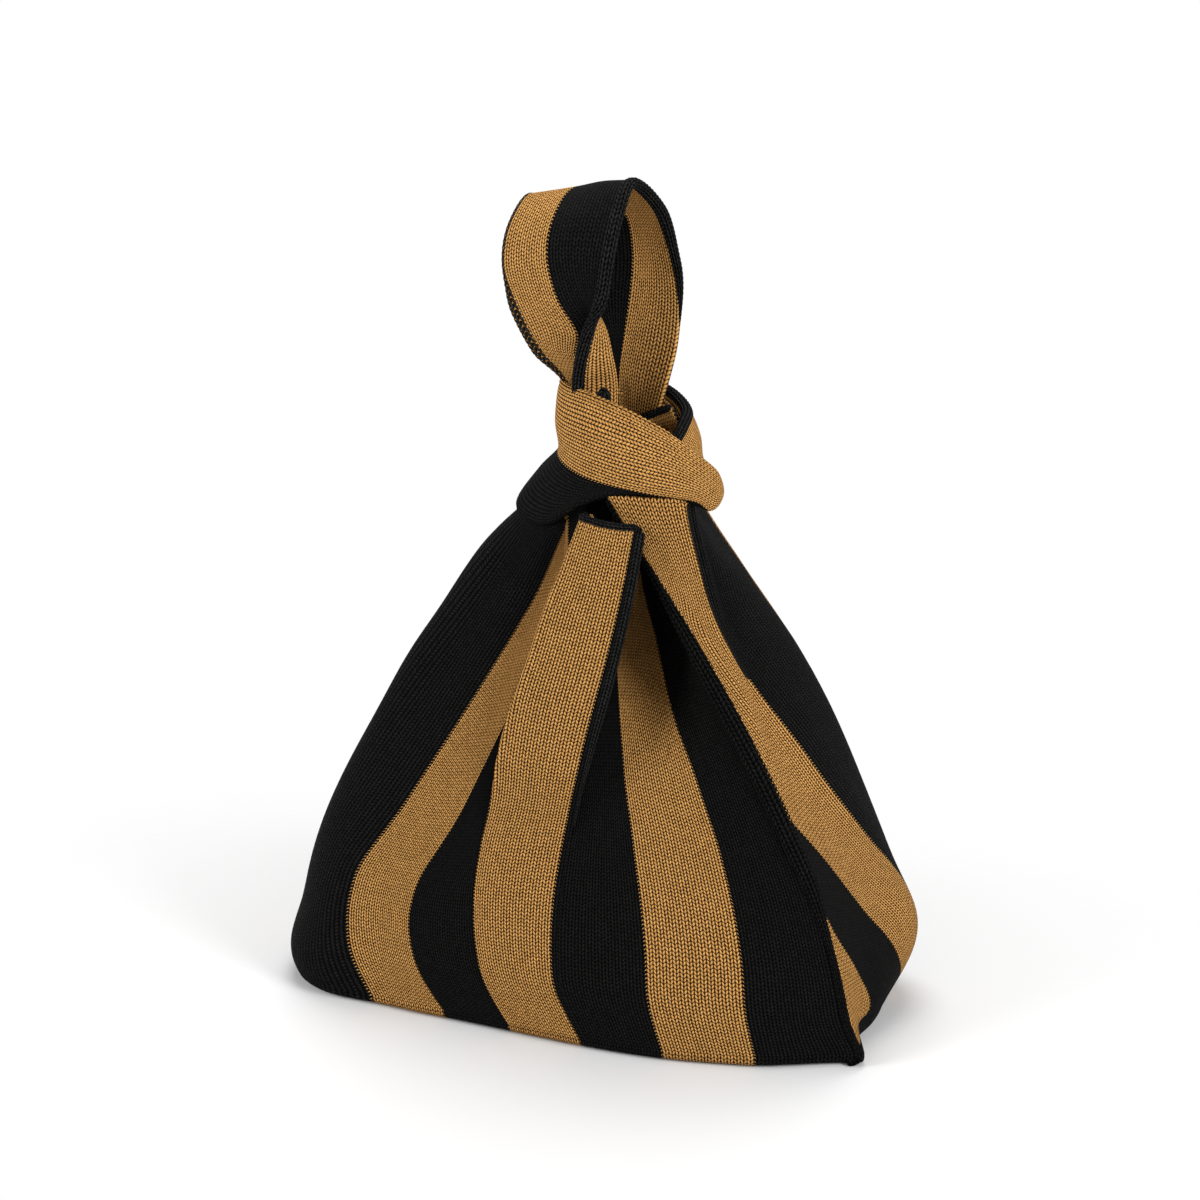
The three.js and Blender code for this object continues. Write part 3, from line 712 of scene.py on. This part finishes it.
back_u = np.minimum(back_u, STRAP_EDGE_U + BACK_STRIPES * STRIPE - CORNER_COLOUR)
back_v = run_length(back_rows[:, STRAP_COLUMNS]) / COURSE
back_knit = dress(knit_sheet("back_knit", back_rows, back_u, back_v), "striped_knit", "back_panel")

# Base: the knit turned under the bag
BASE_RINGS = 40
BASE_LIFT = 0.3
BASE_STRIPES = 20
around = np.concatenate([back_rows[0], front_rows[0][1:-1]])
middle = np.array([FOOT_X, 0, KNIT / 2])
base_rows = middle + (around - middle) * np.linspace(0.02, 0.98, BASE_RINGS)[:, None, None]
base_rows[..., 2] = KNIT / 2 + BASE_LIFT
base_u = np.linspace(STRIPE / 2, (BASE_STRIPES + 0.5) * STRIPE, len(around))
base_v = np.linspace(0, BASE_RINGS, BASE_RINGS)
base_knit = knit_sheet("base_knit", base_rows[::-1], base_u, base_v, thick=KNIT - 1, closed=True)
dress(base_knit, "striped_knit", "base_panel")

# Side seams: two rows of chain along each corner, on the front knit's edge, in the pouch's black
TRIM_DEEP, TRIM_WALES = 2.7, 6
TRIM_U = 1  # wale where a trim's count begins, so that all of it is black
FOOT_TRIM, TRIM_GROWTH = 2.0, 2.7  # half width of the right seam at its foot, and growth above
TRIM_STAND, STAND_GROWTH = 0.3, 0.4  # how far it stands off the knit at its foot, and growth by its width
TRIM_INSET = 1.4
RIGHT_TRIM_FROM, LEFT_TRIM_FROM = 3, 1  # rows of the turned-under foot that have no trim
RIGHT_TRIM_LIFT, LEFT_TRIM_LIFT = 1.6, 1.2  # clearance from the ground
TRIM_LEAN = 0.35  # how far the right seam faces the corner
LEFT_TRIM, LEFT_TRIM_STAND = 3.3, 1.2
STRAP_CHAIN_FROM = 0.76  # share of the back knit's height
STRAP_CHAIN_STAND = 0.8
front_out, back_out = normals_of(front_rows), normals_of(back_rows)


def beside_corner(directions):
    """Directions on the front knit's right edge, read at the heights of the right corner's rows."""
    rows = np.arange(len(directions))
    at = np.clip(TURN_STEPS + (rows - TURN_STEPS) / FRONT_REACH, 0, rows[-1])
    return read_points(directions, rows, at)


to_corner = beside_corner(unit(front_rows[:, -1] - front_rows[:, -5]))
corner_out = beside_corner(front_out[:, -1])
trim_wide = FOOT_TRIM + TRIM_GROWTH * eased(np.linspace(0, 1, len(back_rows)), 0.2, 0.48)
trim_stand = TRIM_STAND + STAND_GROWTH * (trim_wide - FOOT_TRIM)
right_line = back_rows[:, 0] - to_corner * (trim_wide - TRIM_INSET)[:, None]
right_line = right_line + corner_out * trim_stand[:, None]
right_line[:, 2] = np.maximum(right_line[:, 2], TRIM_DEEP + RIGHT_TRIM_LIFT)
right_facing = corner_out + TRIM_LEAN * to_corner
right_line, right_facing, trim_wide = (q[RIGHT_TRIM_FROM:] for q in (right_line, right_facing, trim_wide))
right_trim = black_hem(
    "right_side_trim", ["right_side_seam"], right_line, right_facing, look=STRIPED_KNIT, wide=trim_wide,
    deep=TRIM_DEEP, wales=TRIM_WALES, u_start=TRIM_U, bulge=1.0, courses=LOOSE_COURSE,
)
left_line = front_rows[:, 0] + front_out[:, 0] * LEFT_TRIM_STAND
left_line[:, 2] = np.maximum(left_line[:, 2], TRIM_DEEP + LEFT_TRIM_LIFT)
left_facing = unit(front_out[:, 0] + back_out[:, -1])
left_line, left_facing = left_line[LEFT_TRIM_FROM:], left_facing[LEFT_TRIM_FROM:]
left_trim = black_hem(
    "left_side_trim", ["left_side_seam"], left_line, left_facing, look=STRIPED_KNIT, wide=LEFT_TRIM,
    deep=TRIM_DEEP, wales=TRIM_WALES, u_start=TRIM_U,
)
strap_from = int(STRAP_CHAIN_FROM * PANEL_ROWS)
strap_out = back_out[strap_from:, STRAP_COLUMNS]
strap_line = back_rows[strap_from:, STRAP_COLUMNS] + strap_out * STRAP_CHAIN_STAND
strap_trim = black_hem("strap_edge_chain", [], strap_line, strap_out, wide=1.6, deep=1.7, wales=4)
tell_sheet(front_rows)
tell_sheet(back_rows)
tell_sheet(base_rows, closed=True)

# Front flap: its left fold and right edge where it stands clear; below that it lies on the front knit
FLAP_FOLD = (
    (-40, -64.5, 114), (-36, -62.5, 145), (-28.5, -60, 177), (-19.5, -57.5, 205), (-12, -54.5, 230),
    (-5, -52, 248), (-1.6, -50, 258), (3.6, -47, 273),
)
FLAP_EDGE = (
    (1, -65, 114), (6, -62, 143), (12, -59.5, 172), (17.5, -57.5, 195), (22, -55.5, 215), (27, -52, 241),
    (29.5, -49.5, 257), (31.5, -47, 271),
)
FLAP_STRIPE = 5  # stripes of the front knit to the left of the flap's
PAST_STRIPE = 1  # black wales beyond the flap's tan stripe, under its hem
INSIDE_STRIPE = 0.01  # wales by which the flap's left fold is inside the tan stripe
EDGE_HEM_FOOT, EDGE_HEM_GROWTH, EDGE_HEM_ROWS = 0.7, 1.7, 34  # half width at its foot, growth and rows of it
FOLD_RADIUS = 3.4
FLAP_BULGE = 3.0
FLAP_FOOT_THICK, FLAP_FOOT_STAND = 1.6, 0.7
STANDS_FROM, HEM_FROM = 0.42, 0.44  # shares of the flap's height
FLAP_ROWS = 122
FINE_STEPS, LINE_STEPS = 300, 200
TOP_HEM_TURN = 2.9  # radians round the fold where the top hem begins
EDGE_HEM_STAND, TOP_HEM_RISE = 1.3, 1.0
FLAP_BENDS = dict(bodies=("bag", "flap"), start=(-0.013, -0.0645, 0.112), end=(-0.013, -0.0645, 0.140))

flap_u = FLAP_STRIPE * STRIPE + np.arange(0, STRIPE + PAST_STRIPE + COLUMN / 2, COLUMN)
flap_heights = np.linspace(0, 1, FLAP_ROWS)
flap_share = (flap_u - FLAP_STRIPE * STRIPE) / STRIPE
left_place, right_place = (
    np.interp(flap_heights, heights, edge)[:, None] for edge in edge_places[FLAP_STRIPE:FLAP_STRIPE + 2]
)
flap_places = left_place + (right_place - left_place) * flap_share
lying = settled(lofted(front_wales, flap_places, flap_heights))
flap_thick = FLAP_FOOT_THICK + (KNIT - FLAP_FOOT_THICK) * eased(flap_heights, 0.36, 0.5)
lying = lying + normals_of(lying) * (KNIT / 2 + FLAP_FOOT_STAND - flap_thick / 2)[:, None, None]
standing_at = np.clip((flap_heights - STANDS_FROM) / (1 - STANDS_FROM), 0, 1)


def up_flap(points):
    """A line up the flap through these points, read at its rows."""
    line = through(points, np.linspace(0, len(points) - 1, FINE_STEPS))
    return read_points(even_run(line, LINE_STEPS), np.linspace(0, 1, LINE_STEPS), standing_at)


radius = FOLD_RADIUS * eased(flap_heights, 0.44, 0.72)[:, None]
fold_line = up_flap(FLAP_FOLD)
fold_line[:, :1] += radius + KNIT / 2
across_flap = up_flap(FLAP_EDGE) - fold_line
front_length = np.linalg.norm(across_flap, axis=1)[:, None]
run_across = flap_share * (front_length + np.pi * radius)
front_share = (run_across - np.pi * radius) / front_length
turn = np.clip((np.pi * radius - run_across) / np.maximum(radius, 0.01), 0, np.pi)
standing = fold_line[:, None] + across_flap[:, None] * np.maximum(front_share, 0)[..., None]
standing[..., 0] -= radius * np.sin(turn)
standing[..., 1] += radius * (1 - np.cos(turn)) - FLAP_BULGE * np.clip(1 - (2 * front_share - 1) ** 2, 0, 1)
lift = eased(flap_heights, 0.4, 0.56)[:, None, None]
flap_rows = lying * (1 - lift) + standing * lift
flap_v = run_length(flap_rows[:, len(flap_u) // 2]) / COURSE
flap_knit = knit_sheet("flap_knit", flap_rows, flap_u + INSIDE_STRIPE, flap_v, thick=flap_thick[:, None])
dress(flap_knit, "tan_knit", "front_flap", look=STRIPED_KNIT, bends=FLAP_BENDS)
flap_out = normals_of(flap_rows)
edge_from = int(HEM_FROM * FLAP_ROWS)
edge_hem_line = flap_rows[:, -1] + unit(flap_rows[:, -1] - flap_rows[:, -3]) * EDGE_HEM_STAND
edge_hem_out = flap_out[edge_from:, -1]
edge_wide = EDGE_HEM_FOOT + EDGE_HEM_GROWTH * eased(np.arange(FLAP_ROWS - edge_from), 0, EDGE_HEM_ROWS)
flap_edge_hem = black_hem(
    "flap_edge_chain", ["flap_edge_hem"], edge_hem_line[edge_from:], edge_hem_out, bends=FLAP_BENDS,
    wide=edge_wide, deep=2.2, wales=4, bulge=0.7,
)
top_from = int(np.argmax(turn[-1] < TOP_HEM_TURN))
top_hem_line = flap_rows[-1, top_from:] + UPWARDS * TOP_HEM_RISE
top_hem_out = flap_out[-1, top_from:]
flap_top_hem = black_hem(
    "flap_top_chain", ["flap_top_hem"], top_hem_line, top_hem_out, bends=FLAP_BENDS, wide=2.0, deep=2.3,
    wales=4, bulge=0.6,
)
tell_sheet(flap_rows)

# Short handle's collar: stations round the neck, from its inner end over the back and left to the tip
COLLAR = (  # top edge, edge between the two colours and lower edge
    ((43, -12, 304), (45, -12, 288), (45, -12, 280)),
    ((44, 2, 309), (51, 2, 292), (52, 2, 278)),
    ((42.5, 16, 312), (49, 16, 292), (50, 17, 277)),
    ((36, 24, 316), (42, 27, 291), (43, 28, 275)),
    ((26, 29, 320), (29, 34, 290), (30, 35, 274)),
    ((10, 31, 323), (11, 36, 289), (11, 37, 272)),
    ((-6, 24, 326), (-9, 28, 292), (-13, 30, 272)),
    ((-14.5, 6, 329), (-16, 5, 297), (-35, 2, 271)),
    ((-14.5, -6, 330), (-15.5, -9, 295), (-36, -13, 267)),
    ((-9, -15, 330), (-9, -20, 293), (-31, -20, 264.5)),
    ((5, -25, 329.5), (4, -31, 291), (-16, -31, 266)),
    ((21, -31.5, 326), (21, -36.5, 289), (3, -35.5, 279.5)),
    ((34, -33.5, 321), (36, -38, 288), (25, -33, 287)),
    ((47, -34, 314.5), (50, -37, 287), (45, -30.5, 288)),
    ((60, -32.5, 305), (60, -35, 285), (55, -31, 283)),
    ((66.5, -28.5, 298), (65, -29, 279.5), (60, -27, 281)),
    ((67.5, -22, 290), (66, -20, 280.5), (60, -21, 283)),
    ((60, -15, 292), (58, -15, 284), (56, -17, 285)),
)
COLLAR_PLACES_U = (14.5, 16.5, 22.5, 28, 32.5, 37, 40.5)  # wales at the seven places down the band
COLLAR_TOP, COLLAR_TAN = 4, 12  # columns of the band's top edge and of its tan stripe's middle
COLLAR_STEPS = 190
TOP_ROLL_IN, TOP_ROLL_DOWN, FOOT_ROLL_IN, FOOT_ROLL_UP = 4, 6, 7, 3
TAN_BULGE, BLACK_BULGE = 2, 1


def collar_profile(top, edge, low):
    """Seven places down the band: rolled in at its top, out at its middle and in under its foot."""
    outward = unit((top + edge) / 2 * LEVEL - HANDLES_AXIS)
    inward_low = unit(HANDLES_AXIS - low * LEVEL)
    return np.stack([
        top - outward * TOP_ROLL_IN - UPWARDS * TOP_ROLL_DOWN,
        top,
        (top + edge) / 2 + outward * TAN_BULGE,
        edge,
        (edge + low) / 2 + outward * BLACK_BULGE,
        low,
        low + inward_low * FOOT_ROLL_IN + UPWARDS * FOOT_ROLL_UP,
    ])


profiles = [collar_profile(*np.array(station, float)) for station in COLLAR]
collar_grid, collar_u = band(profiles, COLLAR_STEPS, COLLAR_PLACES_U)
collar_v = run_length(collar_grid[:, COLLAR_TAN]) / COURSE
collar_knit = knit_sheet("collar_knit", collar_grid, collar_u, collar_v, thick=COLLAR_KNIT, inside=STRIPE)
dress(collar_knit, "tan_knit", "short_handle_collar", look=LIT_STRIPED_BAND)

# Long handle: stations from inside the collar up its front limb, over the crown and down the back one
HANDLE = (  # tan edge, edge between the two colours, a place half way on and black edge
    ((-8, -12, 285), (2, -6, 285), (10, -10, 285), (-1, -20, 285)),
    ((-11, -8, 330), (2, -9, 330), (12, -8, 330), (-2, -18, 332)),
    ((-24, -12, 348), (-6, -15, 348), (11, -15, 349), (1, -24, 348)),
    ((-31, -15, 362), (-3.5, -22, 361), (9, -22, 365), (5.5, -28, 364)),
    ((-37, -15, 376), (-12, -25, 378), (2, -28, 380), (9.5, -30.5, 381)),
    ((-41, -14.5, 390), (-16.8, -25, 398), (-1.5, -30, 400), (12.5, -32, 400)),
    ((-39.5, -11, 407), (-16, -17, 414), (0, -22, 418), (14.5, -22, 419)),
    ((-33.5, 3, 420), (-10, 2, 425), (4, -1, 429), (17, -5, 431)),
    ((-28, 22, 406), (9, 20, 413), (18, 18, 414), (26, 16, 415)),
    ((-25, 31, 388), (11.5, 30, 390), (20, 30, 391), (30.7, 28, 391)),
    ((-22, 31, 366), (9.5, 33, 368), (20, 33.5, 368), (33.3, 32, 369)),
    ((-8, 24, 345), (6.7, 31, 346), (17.5, 30, 346), (33.4, 28, 346)),
    ((-1, 19, 325), (4.8, 27, 326), (15, 25, 325), (30.3, 18, 324)),
    ((2, 20, 295), (6, 25, 295), (14, 24, 295), (23, 16, 295)),
)
HANDLE_PLACES_U = (19.5, 28, 32.5, 37)  # wales at the four places across the band
HANDLE_STEPS = 190
HANDLE_NODES = ("long_handle_front_limb", "long_handle_back_limb", "long_handle_band")
LEFT_HEM, LEFT_HEM_STAND = 1.6, 0.6  # half width of the loop's left hem, and its stand off the knit
LACE_GROWTH, LACE_STAND = 2.6, 1.1  # how much more of both where it is laced
RIGHT_HEM, CROWN_TAPER, BACK_TAPER = 3.4, 0.7, 1.9  # half width of the right hem, and what it loses behind
RIGHT_STAND, RIGHT_DEEP = (0.2, 0.47), (0.5, 0.6)  # its stand and half depth: least, and growth by its width
HANDLE_BENDS = dict(bodies=("long_handle", "handle_loop"), start=(0.015, 0, 0.333), end=(0.015, 0, 0.376))

handle_grid, handle_u = band(HANDLE, HANDLE_STEPS, HANDLE_PLACES_U)
handle_v = run_length(handle_grid[:, len(handle_u) // 2]) / COURSE
handle_knit = knit_sheet(
    "long_handle_knit", handle_grid, handle_u, handle_v, thick=HANDLE_KNIT, inside=STRIPE,
)
dress(handle_knit, "striped_knit", *HANDLE_NODES, look=LIT_STRIPED_BAND, bends=HANDLE_BENDS)
handle_normals = normals_of(handle_grid)
up_loop = np.linspace(0, len(HANDLE) - 1, HANDLE_STEPS)
lace = eased(up_loop, 0.8, 2) * (1 - eased(up_loop, 3.4, 5))
past_left = unit(handle_grid[:, 0] - handle_grid[:, 2])
left_edge = handle_grid[:, 0] + past_left * (LEFT_HEM_STAND + LACE_STAND * lace)[:, None]
left_wide = LEFT_HEM + LACE_GROWTH * lace
left_hem = black_hem(
    "long_handle_left_chain", ["long_handle_left_hem"], left_edge, handle_normals[:, 0], look=LACE_HEM,
    bends=HANDLE_BENDS, wide=left_wide, deep=1.9, wales=4, bulge=1.0, courses=LACE_COURSE,
)
right_wide = RIGHT_HEM - CROWN_TAPER * eased(up_loop, 8, 9.2) - BACK_TAPER * eased(up_loop, 9.2, 11)
past_right = unit(handle_grid[:, -1] - handle_grid[:, -3])
right_stand, right_deep = (least + growth * right_wide for least, growth in (RIGHT_STAND, RIGHT_DEEP))
right_edge = handle_grid[:, -1] + past_right * right_stand[:, None]
right_hem = black_hem(
    "long_handle_right_chain", ["long_handle_right_hem"], right_edge, handle_normals[:, -1],
    bends=HANDLE_BENDS, wide=right_wide, deep=right_deep, wales=6, bulge=0.9, courses=LOOSE_COURSE,
)
tell_sheet(handle_grid)

# Collar hems: black chain at the back and below, tan loops in front and a turn of chain behind them
BACK_PART = 0.36  # share of the way round the collar
FRONT_LOOPS = (7.6, 13)  # stations where the loops begin and end
CHAIN_TURN = 115  # step round the collar where the turn of chain stands
TURN_RISE, TURN_FALL, TURN_HALF_WIDE, TURN_BACK = 3.9, 8, 2, 2.6
TOP_CHAIN_RISE, LOOPS_STAND, LOOPS_RISE = 1.5, 0.8, 0.6


def from_neck(points):
    return unit(points * LEVEL - NECK_AXIS)


collar_edge = collar_grid[:, COLLAR_TOP]
collar_top_line = collar_edge[:int(COLLAR_STEPS * BACK_PART)] + UPWARDS * TOP_CHAIN_RISE
collar_top_hem = black_hem(
    "collar_top_chain", ["collar_top_hem"], collar_top_line, from_neck(collar_top_line), wide=2.6, deep=3.0,
    wales=5,
)
collar_low_hem = black_hem(
    "collar_lower_chain", ["collar_lower_hem"], collar_grid[:, -1], -UPWARDS, wide=2.2, deep=2.2, wales=4,
)
loops_from, loops_to = (int(COLLAR_STEPS * station / (len(COLLAR) - 1)) for station in FRONT_LOOPS)
loops_out = from_neck(collar_edge[loops_from:loops_to])
loops_line = collar_edge[loops_from:loops_to] + loops_out * LOOPS_STAND + UPWARDS * LOOPS_RISE
collar_loops = chain_hem(
    "collar_edge_loops", loops_line, loops_out, wide=1.3, deep=1.3, wales=3, bulge=1.3, courses=LOOSE_COURSE,
)
dress(collar_loops, "tan_knit")
turn_of_chain = np.linspace(-1, 1, 40)[:, None]
turn_out = from_neck(collar_edge[CHAIN_TURN])
along_edge = unit(collar_edge[CHAIN_TURN + 1] - collar_edge[CHAIN_TURN])
chain_line = (
    collar_edge[CHAIN_TURN]
    - turn_out * TURN_BACK
    + along_edge * TURN_HALF_WIDE * turn_of_chain
    + UPWARDS * (TURN_RISE - TURN_FALL * turn_of_chain**2)
)
collar_chain = black_hem("collar_front_chain", [], chain_line, turn_out, wide=2.4, deep=2.2, wales=4)
tell_sheet(collar_grid)

# Short handle's back root, in the collar: three lines from its foot to its rolled top
ROOT = (
    ((50, 8, 275), (45, 9, 298), (37, 8, 316)),
    ((42, 20, 274), (36, 16, 297), (28.5, 10, 312)),
    ((30, 26, 274), (26, 20, 295), (20, 11, 308)),
)
ROOT_STEPS, ROOT_HEM_RISE = 24, 1.5
ROOT_WALES = (14.5, 26.5)
ROOT_MIDDLE = 8  # column on which the root's courses are counted
root_u = np.arange(*ROOT_WALES, COLUMN)
across_root = np.broadcast_to(np.linspace(0, 2, len(root_u)), (3, len(root_u)))
up_root = np.broadcast_to(np.linspace(0, 2, ROOT_STEPS), (len(root_u), ROOT_STEPS))
root_edges = through(np.array(ROOT, float).transpose(1, 0, 2), across_root)
root_grid = through(root_edges.transpose(1, 0, 2), up_root).transpose(1, 0, 2)
root_v = run_length(root_grid[:, ROOT_MIDDLE]) / COURSE
root_knit = knit_sheet("back_root_knit", root_grid, root_u, root_v, thick=HANDLE_KNIT)
dress(root_knit, "tan_knit", "short_handle_back_root", look=LIT_STRIPED_BAND)
root_top = root_grid[-1] + UPWARDS * ROOT_HEM_RISE
root_out = normals_of(root_grid)[-1]
root_hem = black_hem("back_root_chain", ["back_root_hem"], root_top, root_out, wide=1.9, deep=2.4, wales=5)
tell_sheet(root_grid)

# Floor: white paper that keeps the bag's shadow and ends softly in the background, in metres
FLOOR_REACH = 6.0
PAPER_WHITE = (0.745, 0.745, 0.745)
PAPER_OVAL, PAPER_END = (0.2, 0.13, 1), (0.9, 2.2)  # oval under the bag, and where the paper ends round it
floor_mesh = bpy.data.meshes.new("studio_floor")
floor_corners = [(x * FLOOR_REACH, y * FLOOR_REACH, 0) for x, y in ((-1, -1), (1, -1), (1, 1), (-1, 1))]
floor_mesh.from_pydata(floor_corners, [], [(0, 1, 2, 3)])
studio_floor = placed("studio_floor", floor_mesh)
paper = bpy.data.materials.new("white_paper")
paper.use_nodes = True
n = Nodes(paper.node_tree)
paper_shader = paper.node_tree.nodes["Principled BSDF"]
set_inputs(paper_shader, Base_Color=(*PAPER_WHITE, 1), Roughness=0.9, Specular_IOR_Level=0.0)
stretched = n.add("ShaderNodeVectorMath", operation="DIVIDE")
stretched.inputs[1].default_value = PAPER_OVAL
n.join(n.add("ShaderNodeNewGeometry").outputs["Position"], stretched.inputs[0])
from_bag = n.add("ShaderNodeVectorMath", operation="LENGTH")
n.join(stretched.outputs[0], from_bag.inputs[0])
ending = n.ease(from_bag.outputs["Value"], *PAPER_END)
by_camera = n.add("ShaderNodeLightPath").outputs["Is Camera Ray"]
paper_end = n.add("ShaderNodeMixShader")
n.join(n.math("MULTIPLY", ending, by_camera), paper_end.inputs[0])
n.join(paper_shader.outputs[0], paper_end.inputs[1])
n.join(n.add("ShaderNodeBsdfTransparent").outputs[0], paper_end.inputs[2])
n.join(paper_end.outputs[0], paper.node_tree.nodes["Material Output"].inputs["Surface"])
floor_mesh.materials.append(paper)

# Background: white where it is seen, weaker as the light that fills the shadows
FILL_LIGHT, SEEN_WHITE = 0.39, 1.0
world = bpy.data.worlds.new("studio")
scene.world = world
world.use_nodes = True
sky = Nodes(world.node_tree)
background = world.node_tree.nodes["Background"]
seen = sky.add("ShaderNodeLightPath")
mirrored = sky.math("MAXIMUM", seen.outputs["Is Glossy Ray"], seen.outputs["Is Transmission Ray"])
level = sky.add("ShaderNodeMix", data_type="FLOAT")
sky.join(sky.math("MAXIMUM", seen.outputs["Is Camera Ray"], mirrored), level.inputs[0])
level.inputs[2].default_value = FILL_LIGHT
level.inputs[3].default_value = SEEN_WHITE
sky.join(level.outputs[0], background.inputs["Strength"])
background.inputs["Color"].default_value = (1, 1, 1, 1)


# Lamps, in metres and watts
def soft_lamp(name, place, target, size, power):
    lamp = bpy.data.lights.new(name, "AREA")
    lamp.shape = "DISK"
    lamp.size = size
    lamp.energy = power
    aimed(name, lamp, place, Vector(target) - Vector(place))


soft_lamp("top_softbox", (-0.1, 0.5, 1.6), (0, 0, 0.3), size=1.1, power=16.5)
soft_lamp("right_softbox", (1.25, -0.62, 0.9), (0, 0, 0.15), size=0.8, power=18)
soft_lamp("left_softbox", (-0.9, -0.72, 0.75), (0, 0, 0.25), size=0.7, power=9.8)

# Camera at the photograph's angle: AIM, in millimetres, lands on AIM_PIXEL of the picture
PICTURE, SENSOR = 1200, 36
AZIMUTH, ELEVATION, DISTANCE, PIXELS_PER_MM = 15, 20, 1500, 1.98
AIM, AIM_PIXEL = (10, 0, 215), (614.9, 602.9)
a, e = math.radians(AZIMUTH), math.radians(ELEVATION)
back = Vector((math.sin(a) * math.cos(e), -math.cos(a) * math.cos(e), math.sin(e)))
right = Vector((math.cos(a), math.sin(a), 0))
up = back.cross(right)
pixels_right, pixels_down = (pixel - PICTURE / 2 for pixel in AIM_PIXEL)
picture_middle = Vector(AIM) - right * pixels_right / PIXELS_PER_MM + up * pixels_down / PIXELS_PER_MM
camera_data = bpy.data.cameras.new("camera")
camera_data.sensor_width = SENSOR
camera_data.lens = PIXELS_PER_MM * DISTANCE / PICTURE * SENSOR
camera_place = (picture_middle + back * DISTANCE) * MM
scene.camera = aimed("camera", camera_data, camera_place, -back)
scene.view_settings.view_transform = "Standard"
